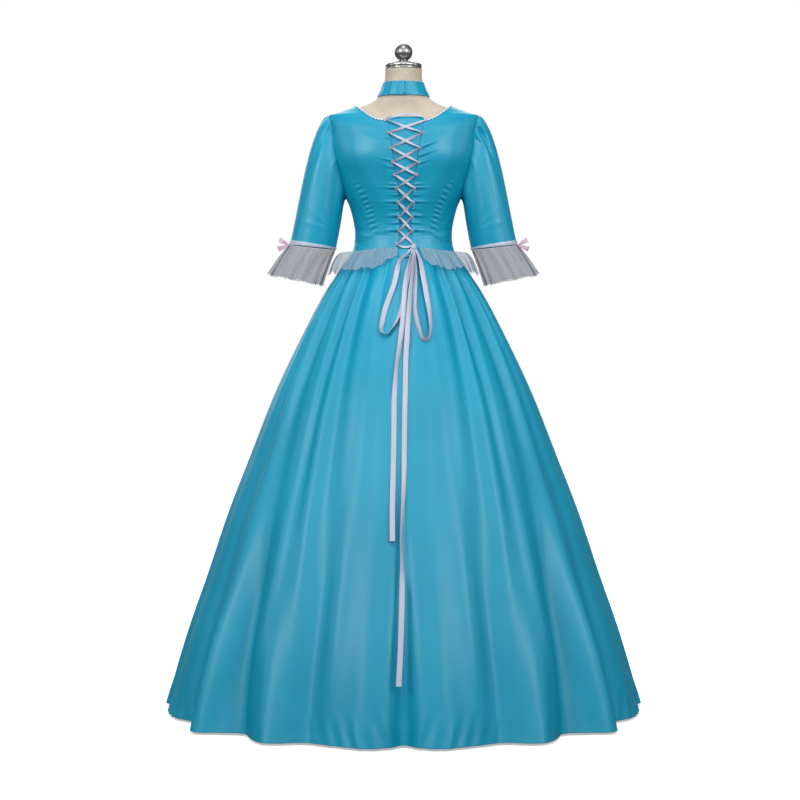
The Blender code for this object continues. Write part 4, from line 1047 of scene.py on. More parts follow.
def patch(bottom, right, top, left, v):
    """Grid between four edge lines; v places its rows from 0 to 1."""
    u = np.linspace(0.0, 1.0, len(bottom))[:, None, None]
    v = v[:, None]
    between = blend(bottom[:, None], top[:, None], v) + blend(left, right, u)
    return between - blend(blend(bottom[0], bottom[-1], u), blend(top[0], top[-1], u), v)


# Materials


def new_material(name, colour, roughness, settings):
    """A material with its tree and its shader, which has further settings."""
    made = bpy.data.materials.new(name)
    made.use_nodes = True
    shader = made.node_tree.nodes["Principled BSDF"]
    shader.inputs["Base Color"].default_value = colour
    shader.inputs["Roughness"].default_value = roughness
    for label, value in settings.items():
        shader.inputs[label].default_value = value
    made.diffuse_color = colour
    return made, made.node_tree, shader


def add(tree, kind, **values):
    """A node with its named inputs or settings."""
    node = tree.nodes.new(kind)
    for name, value in values.items():
        label = name.replace("_", " ").title()
        if label in node.inputs:
            node.inputs[label].default_value = value
        else:
            setattr(node, name, value)
    return node


def join(tree, *links):
    """Link nodes: each link is a node, its output, the next node, its input."""
    for source, output, target, entry in links:
        tree.links.new(source.outputs[output], target.inputs[entry])


def ramped(tree, shader, places, colours):
    """A colour ramp with two ends, into the shader's colour."""
    ramp = add(tree, "ShaderNodeValToRGB")
    for element, place, colour in zip(ramp.color_ramp.elements, places, colours):
        element.position = place
        element.color = colour
    join(tree, (ramp, "Color", shader, "Base Color"))
    return ramp


def cloth_noise(tree, stretch, detail):
    """Noise over the cloth's own coordinates, stretched across and up."""
    place = add(tree, "ShaderNodeUVMap", uv_map="cloth")
    mapping = add(tree, "ShaderNodeMapping", scale=stretch)
    noise = add(tree, "ShaderNodeTexNoise", scale=1.0, detail=detail)
    join(tree, (place, "UV", mapping, "Vector"), (mapping, "Vector", noise, "Vector"))
    return noise


def tinted(tree, shader, colour, change, scale):
    """Vary the colour a little over the piece by a soft noise."""
    place = add(tree, "ShaderNodeTexCoord")
    noise = add(tree, "ShaderNodeTexNoise", scale=scale, detail=3.0)
    low = tuple(max(c * (1 - change), 0.0) for c in colour[:3]) + (1.0,)
    high = tuple(min(c * (1 + change), 1.0) for c in colour[:3]) + (1.0,)
    ramp = ramped(tree, shader, NOISE_SPAN, (low, high))
    join(tree, (place, "Object", noise, "Vector"), (noise, "Fac", ramp, "Fac"))


def woven(tree, shader, stretch, distance, strength):
    """Fine threads as a bump, across and up the cloth's own coordinates."""
    noise = cloth_noise(tree, stretch, 2.0)
    relief = add(tree, "ShaderNodeBump", strength=strength, distance=distance)
    join(tree, (noise, "Fac", relief, "Height"), (relief, "Normal", shader, "Normal"))


def shade_ribbon_edges(tree, shader, colour, edge_shade_colour, width):
    """Painted shade: tint a ribbon pink towards its two edges, by its own width coordinate."""
    place = add(tree, "ShaderNodeUVMap", uv_map="cloth")
    apart = add(tree, "ShaderNodeSeparateXYZ")
    off, far, share = (
        add(tree, "ShaderNodeMath", operation=kind) for kind in ("SUBTRACT", "ABSOLUTE", "DIVIDE")
    )
    off.inputs[1].default_value = width / 2
    share.inputs[1].default_value = width / 2
    ramp = ramped(tree, shader, EDGE_SHADE_SPAN, (colour, edge_shade_colour))
    join(
        tree,
        (place, "UV", apart, "Vector"),
        (apart, "Y", off, 0),
        (off, "Value", far, 0),
        (far, "Value", share, 0),
        (share, "Value", ramp, "Fac"),
    )


def netted(tree, shader, cover, streaks, change):
    """Gathered net: its cover changes in fine streaks down the cloth."""
    noise = cloth_noise(tree, (streaks, NET_RUN, 1.0), 3.0)
    spread = add(tree, "ShaderNodeMapRange")
    ends = (*NOISE_SPAN, cover * (1 - change), cover * (1 + change))
    for label, value in zip(("From Min", "From Max", "To Min", "To Max"), ends):
        spread.inputs[label].default_value = value
    join(tree, (noise, "Fac", spread, "Value"), (spread, "Result", shader, "Alpha"))


def make_materials():
    """All materials by name."""
    made = {}
    for name, (label, colour, roughness, settings, change, scale) in SURFACES.items():
        made[name], tree, shader = new_material(label, colour, roughness, settings)
        if name in NETS:
            netted(tree, shader, *NETS[name])
        if name in WEAVES:
            woven(tree, shader, *WEAVES[name])
        # Painted shade: the wide and lacing ribbons turn pink towards their edges
        if name in RIBBON_WIDTHS:
            shade_ribbon_edges(tree, shader, colour, PINK, RIBBON_WIDTHS[name])
        if change:
            tinted(tree, shader, colour, change, scale)
    return made


# Bodice


def half_gap(height):
    """Half of the opening between the lacing edges at a height."""
    return size(LACING, LACING_COLUMNS, "half_gap", height)


def lacing_edge(side_sign, height):
    """Side distance of a lacing edge, measured in its own half."""
    return half_gap(height) + side_sign * LACING_CENTRE


def armhole(first, last, steps):
    """Points of the armhole edge: degrees off the side line, and height."""
    line = through(np.array(ARMHOLE[first : last + 1]) * ARMHOLE_SCALE, ARMHOLE_STEPS)
    return read_off(steps, shares(line), line) / ARMHOLE_SCALE


def armhole_upper():
    """The armhole edge from the princess seam up to the shoulder tip."""
    return armhole(0, PRINCESS_JOIN_ROW, 1 - UPPER_STEPS)


def armhole_lower():
    """The armhole edge from the princess seam down to the underarm."""
    return armhole(PRINCESS_JOIN_ROW, len(ARMHOLE) - 1, LOWER_STEPS)


def armhole_sides(line):
    """Armhole points as side distance and height."""
    return points_of(body_width(line[:, 1]) * np.cos(np.radians(line[:, 0])), line[:, 1])


def waist_at_side(side):
    """Height of the waist seam at a side distance."""
    return waist_height(np.degrees(np.arcsin(side / body_width(WAIST_HEIGHT))))


def princess_line():
    """The princess seam from the waist up to the armhole."""
    line = through([*PRINCESS, armhole_sides(armhole_upper())[0]], PRINCESS_ROWS)
    line[0, 1] = waist_at_side(line[0, 0])
    return line


def outer_edge():
    """The edge of a centre panel: princess seam, then the upper armhole."""
    line = np.concatenate([princess_line(), armhole_sides(armhole_upper())[1:]])
    v = shares(line)
    line[:, 0] -= PANEL_EDGE
    return line, v


def centre_panel(inner_edge, neckline, right, v):
    """Side distances and heights of half a centre panel."""
    neck = through([*neckline, (NECK_POINT, ridge_height(NECK_POINT))], NECK_STEPS)
    steps = 1 - np.linspace(1.0, 0.0, NECK_POINTS) ** NECK_CROWDING
    neck = read_off(steps, shares(body_at_side(neck[:, 0], neck[:, 1], False)), neck)
    strap = np.linspace(NECK_POINT, right[-1, 0], STRAP_POINTS)[1:]
    top = np.concatenate([neck, points_of(strap, ridge_height(strap))])
    bottom_sides = np.linspace(inner_edge[0, 0], right[0, 0], len(top))
    bottom = points_of(bottom_sides, waist_at_side(bottom_sides))
    right[-1] = top[-1]
    right[0] = bottom[-1]
    inner_edge[0] = bottom[0]
    inner_edge[-1] = top[0]
    return patch(bottom, right, top, inner_edge, v)


def centre_back(side_sign):
    """Smooth face of a centre back panel, drawn on the +X side."""
    right, v = outer_edge()
    waist = waist_at_side(lacing_edge(side_sign, WAIST_HEIGHT))
    heights = blend(waist, BACK_NECKLINE[0][1], v)
    inner_edge = points_of(lacing_edge(side_sign, heights), heights)
    flat = centre_panel(inner_edge, [inner_edge[-1], *BACK_NECKLINE[1:]], right, v)
    return body_at_side(flat[..., 0], flat[..., 1], False) - (0.0, PANEL_EDGE, 0.0)


def centre_front():
    """Smooth face of the front panel, from its +X to its -X edge."""
    right, v = outer_edge()
    inner_edge = points_of(0.0, blend(WAIST_HEIGHT + WAIST_DIP, FRONT_NECKLINE[0][1], v))
    flat = centre_panel(inner_edge, FRONT_NECKLINE, right, v)
    points = body_at_side(flat[..., 0], flat[..., 1], True) + (0.0, PANEL_EDGE, 0.0)
    return np.concatenate([points[::-1], (points * MIRROR)[1:]])


def side_panel(front):
    """Smooth face of a side panel on the +X side."""
    left = princess_line()
    v = shares(left)
    wide = body_width(left[:, 1])
    left[:, 0] = np.degrees(np.arcsin(np.clip((left[:, 0] + PANEL_EDGE) / wide, 0.0, 1.0)))
    side = 90.0 - math.degrees(PANEL_EDGE / wide[0])
    hole = armhole_lower()
    top = points_of(np.minimum(90.0 - hole[:, 0], side), hole[:, 1])
    top[0] = left[-1]
    bottom_degrees = np.linspace(left[0, 0], side, len(top))
    bottom = points_of(bottom_degrees, waist_height(bottom_degrees))
    left[0] = bottom[0]
    right = points_of(side, blend(bottom[-1, 1], top[-1, 1], v))
    degrees, heights = np.moveaxis(patch(bottom, right, top, left, v), -1, 0)
    if front:
        return body_at_angle(180.0 - degrees, heights)[::-1]
    return body_at_angle(degrees, heights)


def edge_roll(points):
    """How the seamed edges of a panel sink, from each point's way to them."""
    start = running(ways(points))
    return -SEAM_SINK * bell(np.minimum(start, start[-1] - start), 0.0, SEAM_SINK_REACH)


def pucker_relief(from_edge, at_side, z):
    """The lip of a lacing edge and the small creases that start there."""
    relief = LIP_HEIGHT * bell(from_edge, *LIP)
    for height, slope, length, out, only in PUCKERS:
        here = 1.0 if only == 0 else at_side == only
        off = z - height - slope * from_edge
        fade = climb(from_edge, 0.0, PUCKER_START) * bell(from_edge, 0.0, length * PUCKER_FADE)
        ridge = bell(off, 0.0, PUCKER_RIDGE) - PUCKER_HOLLOW_SHARE * bell(off, *PUCKER_HOLLOW)
        relief = relief + PUCKER_STRENGTH * out * ridge * fade * here
    return relief


def bodice_relief(points, front, lacing):
    """Height of the bodice's creases out of its smooth surface."""
    x, z = points[..., 0], points[..., 2]
    side = np.abs(x)
    relief = edge_roll(points) * climb(z, *ROLL_START)
    crease = size(FLARE, FLARE_COLUMNS, "height", side)
    swell = 1 - np.exp(-np.clip(crease - z, 0.0, None) / FLARE_REACH)
    growth = np.maximum(climb(side, *FLARE_GROWTH), FLARE_LEAST)
    relief = relief + FLARE_HEIGHT * growth * swell * climb(z, *FLARE_FOOT)
    relief = relief - CREASE_DEPTH * bell(z - crease, *CREASE_ABOVE) * bell(side, *CREASE_SIDE)
    if not front:
        relief = relief + BLADE_HEIGHT * bell(side, *BLADE_SIDE) * bell(z, *BLADE_LEVEL)
    for at, height, direction, half_length, half_width, out in DRAGS:
        turn = math.radians(direction)
        if front:
            at, height, turn = at * FRONT_DRAG_SHARE, height + FRONT_DRAG_RISE, -turn
        along = (side - at) * math.cos(turn) + (z - height) * math.sin(turn)
        off = (z - height) * math.cos(turn) - (side - at) * math.sin(turn)
        relief = relief + out * bell(along, 0.0, half_length) * bell(off, 0.0, half_width)
    seam_sides, seam_heights = np.array(PRINCESS).T
    from_seam = side - monotone(seam_heights, seam_sides, z)
    near = bell(from_seam, *RIPPLE_OFF_SEAM) * climb(z, *RIPPLE_START) * fall(z, *RIPPLE_END)
    beat = z * FULL_TURN / RIPPLE_LENGTH + waves(z, RIPPLE_SHIFT) + side * RIPPLE_SLANT
    relief = relief + RIPPLE_HEIGHT * np.sin(beat) * near
    if lacing:
        from_edge = np.clip(np.abs(x - LACING_CENTRE) - half_gap(z), 0.0, None)
        relief = relief + pucker_relief(from_edge, np.sign(x - LACING_CENTRE), z)
    return relief


def lay_panel(name, smooth, front, lacing):
    """A bodice panel with its creases."""
    outer = body_out(smooth, bodice_relief(smooth, front, lacing))
    cloth = {"thick": SATIN, "on_form": True}
    lay_cloth(name, "cloth", "satin", outer, "stretched", ["form_torso"], **cloth)


def make_modesty_panel():
    """The rippled panel behind the lacing."""
    heights = np.linspace(*MODESTY_HEIGHTS, MODESTY_ROWS)
    across = np.linspace(-1.0, 1.0, MODESTY_COLUMNS)[:, None]
    sides = LACING_CENTRE + across * (half_gap(heights) - MODESTY_INSET)
    ripple = np.sin(heights * MODESTY_RIPPLE_RATE + MODESTY_SLANT * across) * (1 - across**2)
    lift = MODESTY_RIPPLE * ripple - MODESTY_DEPTH
    panel = body_out(body_at_side(sides, heights, False), lift)
    rests_on = ["form_torso"]
    lay_cloth("modesty_panel", "cloth", "satin", panel, "stretched", rests_on, thick=SATIN)


def trim_piece(name, edge):
    """Picot trim: a narrow band on a neckline edge with small scallops."""
    edge = resample(edge, max(len(edge), TRIM_STEPS))
    normal = unit(body_out(edge, SATIN) - edge)
    way = unit(np.cross(normal, np.gradient(edge, axis=0)))
    rows = [edge + way * place + normal * lift for place, lift in TRIM_ROWS]
    grids = [(np.stack(rows, axis=1), False, False)]
    count = max(int(round(ways(edge).sum() / PICOT_SPACING)), 2)
    at = shares(edge)
    arc = np.linspace(*PICOT_ARC)[:, None]
    for share in (np.arange(count) + 0.5) / count:
        centre, out, up = (read_off(share, at, table) for table in (edge, way, normal))
        ring = np.cos(arc) * np.cross(out, up) + np.sin(arc) * out
        reach = PICOT_REACH / max(math.hypot(out[0], out[2]), PICOT_LEAN)
        line = centre - out * reach + up * PICOT_LIFT - ring * PICOT_RADIUS
        grids.append((tube(line, PICOT_THREAD, PICOT_SIDES, up), False, True))
    lay(name + "_picot", name, "picot", grids, "ribbon")


def make_bodice():
    """All bodice panels and the trim along their neckline."""
    right, left, front = centre_back(1), mirrored(centre_back(-1)), centre_front()
    lay_panel("bodice_back_right", right, False, True)
    lay_panel("bodice_back_left", left, False, True)
    lay_panel("bodice_front", front, True, False)
    for at_front, name in ((False, "bodice_side_back"), (True, "bodice_side_front")):
        panel = side_panel(at_front)
        lay_panel(name + "_right", panel, at_front, False)
        lay_panel(name + "_left", mirrored(panel), at_front, False)
    make_modesty_panel()
    trim_piece("neck_trim_back_right", right[:NECK_POINTS, -1])
    trim_piece("neck_trim_back_left", left[-NECK_POINTS:, -1])
    trim_piece("neck_trim_front", front[STRAP_POINTS - 1 : 1 - STRAP_POINTS, -1])


# Sleeves


def armhole_loop():
    """The armhole edge of the +X side, from its tip round by the front."""
    half = np.concatenate([armhole_upper()[::-1], armhole_lower()[1:]])
    front = body_at_angle(90 + half[:, 0], half[:, 1])
    back = body_at_angle(90 - half[::-1, 0], half[::-1, 1])[1:-1]
    return np.concatenate([front, back])


def loop_turns(loop):
    """Turn of each point round the sleeve, spaced as along its armhole."""
    return FULL_TURN * shares(closed(loop))[:-1]


def level_ring(turn, centre, radii, tilt, wave=0.0):
    """Points of a ring round the arm that is tilted outwards."""
    return points_of(
        centre[0] + (radii[0] + wave) * np.cos(turn),
        centre[1] + (radii[1] + wave) * np.sin(turn),
        centre[2] + tilt * np.cos(turn),
    )


def sleeve_smooth(down):
    """Outer face of the +X sleeve without folds, with rows at down (0 to 1)."""
    edge = armhole_loop()
    centre = points_of(body_width(ARMHOLE_CENTRE_HEIGHT), 0.0, ARMHOLE_CENTRE_HEIGHT)
    start = body_out(edge, SLEEVE_PROUD) + unit(centre - edge) * SLEEVE_SET_IN
    turn = loop_turns(edge)
    outer = (1 + np.cos(turn))[:, None] / 2
    hem = level_ring(turn, *SLEEVE_HEM)
    leave = SLEEVE_LEAVE[0] + SLEEVE_LEAVE[1] * outer
    leave[:, 1] = SLEEVE_LEAVE_FORWARD * np.sin(turn)
    arrive = SLEEVE_ARRIVE[0] + SLEEVE_ARRIVE[1] * outer
    s = np.asarray(down)[:, None]
    points = blend(start[:, None], hem[:, None], eased(s))
    return points + leave[:, None] * s * (1 - s) ** 2 - arrive[:, None] * s * s * (1 - s)


def sleeve(down, tucks):
    """Outer face of the +X sleeve with its folds and head tucks."""
    turn = np.degrees(loop_turns(armhole_loop()))[:, None]
    relief = np.zeros((len(turn), len(down)))
    for at, drift, spread, out, *stretch in SLEEVE_FOLDS + tucks:
        off = turn_apart(turn, at + drift * down)
        relief = relief + out * bell(off, 0.0, spread) * along_fold(down, *stretch)
    for place, at, reach, lean, spread, out in SLEEVE_CREASES:
        off = turn_apart(turn, at) / reach
        relief = relief + out * bell(down, place + lean * off, spread) * bell(off, 0.0, 1.0)
    calm = fall(down, 1.0, SLEEVE_CALM_HEM) * climb(down, 0.0, SLEEVE_CALM_HEAD)
    seam = SLEEVE_SEAM * bell(down, 0.0, SLEEVE_SEAM_REACH)
    return grid_out(sleeve_smooth(down), relief * calm - seam)


def sleeve_ruffle():
    """Outer face of the +X sleeve's tulle ruffle, hem first."""
    edge = closed(sleeve_smooth(np.array([1.0]))[:, 0])
    edge_turns = np.append(loop_turns(armhole_loop()), FULL_TURN)
    turn = np.linspace(0.0, FULL_TURN, RUFFLE_COLUMNS, endpoint=False)
    top = (read_off(turn, edge_turns, edge) - (0.0, 0.0, RUFFLE_DROP))[:, None]
    phase = RUFFLE_WAVES * turn + waves(turn, RUFFLE_SHIFT)
    wave = RUFFLE_WAVE * np.cos(phase) * (1 + waves(turn, RUFFLE_UNEVEN))
    hem = level_ring(turn, *RUFFLE_HEM, wave)[:, None]
    phase = phase[:, None]
    hem[..., 2] += waves(phase, RUFFLE_EDGE)
    down = np.linspace(1.0, 0.0, RUFFLE_ROWS)
    points = blend(top, hem, down[:, None] ** RUFFLE_FLARE)
    points[..., 2] = blend(top[..., 2], hem[..., 2], down)
    small = waves(phase, RUFFLE_SMALL) * np.sin(np.pi * np.minimum(down * RUFFLE_SMALL_RISE, 1.0))
    gather = waves(phase, RUFFLE_GATHER) * (1 - down) * climb(down, 0.0, RUFFLE_GATHER_END)
    return grid_out(points, small + gather)


def ball_turns(around, rows, cut):
    """Turns round a ball and up it, cut short of its poles."""
    u = np.linspace(0.0, FULL_TURN, around, endpoint=False)[:, None]
    return u, np.linspace(cut, math.pi - cut, rows)[None]


def strip(centre, half, across):
    """Grid of a flat ribbon along a line, of a half width at each point."""
    offsets = np.linspace(-1.0, 1.0, 5)[:, None]
    return centre[:, None] + offsets * half[:, None] * across, False, False


def small_bow(sign):
    """Grids of a small ribbon bow: two loops, two short tails and a knot."""
    place = np.array(BOW_KNOT) * (sign, 1.0, 1.0)
    out = np.array([sign, 0.0, 0.0])
    grids = []
    angle = np.linspace(0.0, FULL_TURN, BOW_LOOP_STEPS)[:, None]
    far = (1 - np.cos(angle)) / 2
    for reach, lean in BOW_LOOPS:
        turn = math.radians(lean)
        along = out * math.cos(turn) + UP * math.sin(turn)
        across = UP * math.cos(turn) - out * math.sin(turn)
        centre = place + reach * far * along + BOW_LOOP_RISE * far**2 * UP
        centre = centre - BOW_LOOP_OPEN * np.sin(angle) * np.sqrt(far) * FORWARD
        grids.append(strip(centre, BOW_LOOP_HALF[0] + BOW_LOOP_HALF[1] * far, across))
    s = np.linspace(0.0, 1.0, BOW_TAIL_STEPS)[:, None]
    for side in (-1.0, 1.0):
        tail = place + side * s * BOW_TAIL_SPREAD * FORWARD
        tail = tail - s * (BOW_TAIL_FALL + BOW_TAIL_UNEVEN * side) * UP
        tail = tail + (BOW_TAIL_OUT[0] + BOW_TAIL_OUT[1] * s) * out
        across = FORWARD * BOW_TAIL_TURN[0] + UP * BOW_TAIL_TURN[1] * side
        grids.append(strip(tail, BOW_TAIL_HALF * (1 + s), across))
    u, v = ball_turns(*SMALL_KNOT_GRID)
    ball = SMALL_KNOT[0] * np.sin(v) * (1 + SMALL_KNOT_PLEAT * np.cos(SMALL_KNOT_PLEATS * v))
    level = points_of(sign * ball * np.sin(u), ball * np.cos(u), -SMALL_KNOT[1] * np.cos(v))
    grids.append((place + level, True, False))
    return grids


def make_sleeve(sign, name):
    """One sleeve with its ruffle, ribbon band and bow."""
    tucks = RIGHT_TUCKS if sign > 0 else LEFT_TUCKS

    def facing(points):
        return points if sign > 0 else mirrored(points)

    cloth = facing(sleeve(1 - np.linspace(0.0, 1.0, SLEEVE_ROWS) ** SLEEVE_CROWDING, tucks))
    lay_cloth("sleeve_" + name, "cloth", "satin", cloth, "hung", wraps=True, thick=SATIN)
    up = np.linspace(0.0, 1.0, BAND_ROWS)
    band = sleeve(1 - SLEEVE_BAND * up, tucks)
    uneven = BAND_UNEVEN * np.sin(np.arange(len(band)) * BAND_RIPPLE)[:, None]
    band = facing(grid_out(band, BAND_LIFT + BAND_CROWN * np.sin(math.pi * up) + uneven))
    node = "sleeve_ribbon_" + name
    lay(node + "_band", node, "ribbon", [(band, True, False)], thick=RIBBON)
    ruffle = facing(sleeve_ruffle())
    lay_cloth("sleeve_ruffle_" + name, "net", "tulle", ruffle, "gathered", wraps=True)
    node = "sleeve_bow_" + name
    lay(node + "_ribbon", node, "ribbon_edge", small_bow(sign), "ribbon", RIBBON)


# Skirt and peplum


def skirt_sizes(height):
    """Half width and depth of the smooth skirt at a height."""
    return tuple(size(SKIRT, SKIRT_COLUMNS, name, height) for name in SKIRT_COLUMNS[1:])


def skirt_smooth(degrees, height):
    """The skirt's surface without folds, at an angle and a height."""
    angle = np.radians(degrees)
    wide, deep = skirt_sizes(height)
    return points_of(wide * np.sin(angle), -deep * np.cos(angle), height)


def outward(degrees):
    """Level direction away from the gown's axis."""
    turn = np.radians(degrees)
    return points_of(np.sin(turn), -np.cos(turn), 0.0)


def gather_table():
    """Uneven gathers of half a skirt: place, spread, height, end and drift."""
    draw = np.random.default_rng(GATHER_SEED)

    def mostly_small(least, further, power):
        return least + further * draw.random(GATHER_COUNT) ** power

    places = np.arange(GATHER_COUNT) + 0.5 + draw.uniform(-GATHER_SHIFT, GATHER_SHIFT, GATHER_COUNT)
    spreads = draw.uniform(*GATHER_SPREADS, GATHER_COUNT)
    heights = mostly_small(*GATHER_HEIGHTS)
    ends = mostly_small(*GATHER_ENDS)
    drifts = draw.uniform(-GATHER_DRIFT, GATHER_DRIFT, GATHER_COUNT)
    return np.stack([places * 180.0 / GATHER_COUNT, spreads, heights, ends, drifts], axis=1)


def hem_height(half, down):
    """Height of the stitched turn-in and of the ripples along the hem."""
    metres = half * HEM_METRES
    shift = waves(metres, HEM_STITCH_SHIFT)
    pucker = 0.5 + 0.5 * np.sin(metres * FULL_TURN / HEM_STITCH_LENGTH + shift)
    stitched = bell((1 - down) * SKIRT_LENGTH, HEM_STITCH, HEM_STITCH_REACH)
    deep = HEM_STITCH_DEPTH * stitched * blend(HEM_STITCH_LEAST, 1.0, pucker)
    uneven = np.clip(np.sin(metres * HEM_RIPPLE_CHANGE[0] + HEM_RIPPLE_CHANGE[1]), 0.0, 1.0)
    ripple = HEM_RIPPLE[0] + HEM_RIPPLE[1] * uneven
    beat = metres * FULL_TURN / HEM_RIPPLE_LENGTH + down * HEM_RIPPLE_SLANT
    return ripple * climb(down, *HEM_RIPPLE_START) * np.sin(beat) - deep


def fold_height(degrees, down):
    """How far the folds and gathers stand out of the smooth skirt."""
    half = np.abs(turn_apart(degrees, 0.0))
    total = hem_height(half, down)
    for waist_place, hem_place, spread, *heights in FOLDS:
        reach = monotone(FOLD_REACH, (0.0, *heights), down)
        total = total + reach * bell(half, blend(waist_place, hem_place, down), spread)
    for waist_place, hem_place, spread, height, *stretch in SOFT_FOLDS:
        near = bell(half, blend(waist_place, hem_place, down), spread)
        total = total + height * along_fold(down, *stretch) * near
    for at, spread, height, end, drift in gather_table():
        hold = along_fold(down, *GATHER_RISE, end)
        total = total + height * hold * bell(half, at + drift * down / end, spread)
    total = total - WAIST_SINK * along_fold(down, *WAIST_SINK_SPAN)
    seam = bell(half * SEAM_METRES * (SEAM_WAIST_SHARE + down), 0.0, SKIRT_SEAM_REACH)
    return total - SKIRT_SEAM * seam * climb(down, *SKIRT_SEAM_START)


def skirt(degrees, down):
    """Outer face of the skirt at an angle, from the waist (0) to the hem (1)."""
    degrees, down = np.broadcast_arrays(degrees, down)
    points = skirt_smooth(degrees, blend(waist_height(degrees) - SEAM, HEM_HEIGHT, down))
    return points + outward(degrees) * fold_height(degrees, down)[..., None]


def make_skirt():
    """The three gathered skirt panels, each with its hem turned in."""
    down = np.linspace(1.0, 0.0, SKIRT_ROWS) ** SKIRT_CROWDING
    down = np.concatenate([HEM_ROWS, down[1:]])
    depth = skirt_sizes(blend(WAIST_HEIGHT, HEM_HEIGHT, down))[1]
    seam_half = np.degrees(PANEL_EDGE / depth)
    for name, start, end, columns in SKIRT_PANELS:
        share = np.linspace(0.0, 1.0, columns)[:, None]
        degrees = blend(start + seam_half, end - seam_half, share)
        away = outward(degrees)
        points = skirt(degrees, down)
        roll = edge_roll(points) * climb(down, 0.0, SKIRT_ROLL_START)
        rows = []
        for rise, inset in HEM_TURN:
            level = 1 - rise / (WAIST_HEIGHT - HEM_HEIGHT)
            rows.append(skirt(degrees[:, 0], level) - away[:, 0] * inset)
        whole = np.concatenate([np.stack(rows, axis=1), points + away * roll[..., None]], axis=1)
        lay_cloth(name, "cloth", "satin", whole, "gathered")


def peplum_length(degrees):
    """Length of the peplum's tulle at an angle."""
    turn = np.radians(degrees)
    ends = np.where(np.cos(turn) > 0, PEPLUM_BACK, PEPLUM_FRONT)
    from_end = np.minimum(degrees - PEPLUM_START, PEPLUM_END - degrees)
    near = climb(from_end, 0.0, PEPLUM_END_REACH)
    return blend(ends, PEPLUM_SIDE, np.sin(turn) ** 2) * blend(PEPLUM_END_SHARE, 1.0, near)


def make_peplum():
    """The gathered tulle strip round the waist, open at the centre back."""
    degrees = np.linspace(PEPLUM_START, PEPLUM_END, PEPLUM_COLUMNS)[:, None]
    sideways = np.sin(np.radians(degrees)) ** 2
    share = (degrees - PEPLUM_START) / (PEPLUM_END - PEPLUM_START)
    phase = share * PEPLUM_QUARTERS * math.pi / 2 + waves(share, PEPLUM_SHIFT)
    down = np.linspace(1.0, 0.0, PEPLUM_ROWS)
    hang = PEPLUM_DROP[0] + PEPLUM_DROP[1] * sideways
    length = peplum_length(degrees) * (1 + waves(phase, PEPLUM_RAGGED))
    drop = length * down ** (1 + PEPLUM_SIDE_LAG * sideways) * hang
    points = skirt_smooth(degrees, waist_height(degrees) + SEAM - drop)
    level = down ** (PEPLUM_FLARE - PEPLUM_SIDE_FLARE * sideways)
    puff = PEPLUM_STAND + level * (PEPLUM_PUFF + PEPLUM_SIDE_PUFF * sideways)
    puff = puff + PEPLUM_WAVE * np.cos(phase) * (1 + waves(phase, PEPLUM_UNEVEN)) * down
    puff = puff + waves(phase, PEPLUM_SMALL) * np.sin(np.pi * down)
    puff = puff + waves(phase, PEPLUM_GATHER) * (1 - down)
    points = points + outward(degrees) * puff[..., None]
    top, hem = points[:, -1:], points[:, :1]
    standing = blend(top, hem, down[:, None] ** STAND_OUT)
    standing[..., 2] = blend(top[..., 2], hem[..., 2], down**STAND_DROP)
    ripple = points - blend(top, hem, down[:, None])
    lifted = climb(sideways, *STAND_START)[..., None] * STAND_SHARE
    points = blend(points, standing + STAND_RIPPLE * ripple, lifted)
    rests_on = ["skirt_front"]
    lay_cloth("peplum", "net", "peplum_tulle", points, "gathered", rests_on, slot="tulle")


# Ribbons on the back


def back_depth(x, z):
    """Where the smooth gown's back lies, at a side distance and a height."""
    wide, deep = skirt_sizes(z)
    below = -deep * np.sqrt(np.clip(1 - (x / wide) ** 2, 0.0, 1.0))
    return np.where(z > WAIST_HEIGHT, body_at_side(x, z, False)[..., 1], below)


def back_surface(sides, heights):
    """Point and outward normal of the smooth gown's back."""
    further, nearer = back_depth(sides + BACK_STEP, heights), back_depth(sides - BACK_STEP, heights)
    higher, lower = back_depth(sides, heights + BACK_STEP), back_depth(sides, heights - BACK_STEP)
    normal = unit(points_of(further - nearer, -2 * BACK_STEP, higher - lower))
    return points_of(sides, back_depth(sides, heights), heights), normal


def ribbon_grid(route, count, full_width, ends):
    """A ribbon along a route, turned edge-on where the route says it is narrow.

    ends says at which of its ends (0, 1) the ribbon is pinched together.
    """
    line = through(route, count)
    surface, normal = back_surface(line[:, 0], line[:, 1])
    place = shares(line) * ways(line).sum()
    free = np.ones(count)
    for end in ends:
        away = place if end == 0 else place[-1] - place
        free = np.minimum(free, climb(away, *RIBBON_PINCH))
    seen = np.minimum(line[:, 3], full_width)
    width = blend(seen, full_width, free)
    turn = np.arccos(np.clip(seen / width, 0.0, 1.0))[:, None]
    width = width[:, None]
    lift = np.maximum(line[:, 2:3], width / 2 * np.sin(turn) + RIBBON_CLEAR)
    centre = surface + normal * lift
    along = np.gradient(centre, axis=0)
    across = unit(np.cross(along, normal))
    upright = unit(np.cross(across, along))
    way = (across * np.cos(turn) + upright * np.sin(turn)) * width
    face = (upright * np.cos(turn) - across * np.sin(turn)) * width
    offsets = np.linspace(1.0, -1.0, RIBBON_ACROSS)[:, None]
    grid = centre[:, None] + way[:, None] * offsets / 2
    grid = grid + face[:, None] * RIBBON_CUP * (1 - offsets**2)
    return grid[::-1], centre


def bow_ribbon(name, route, count, ends):
    """A ribbon of the bow."""
    grid, centre = ribbon_grid(route, count, RIBBON_WIDTH, ends)
    piece = lay(name + "_satin", name, "wide_ribbon", [(grid, False, False)], "ribbon", RIBBON)
    if ends != (0,):
        return


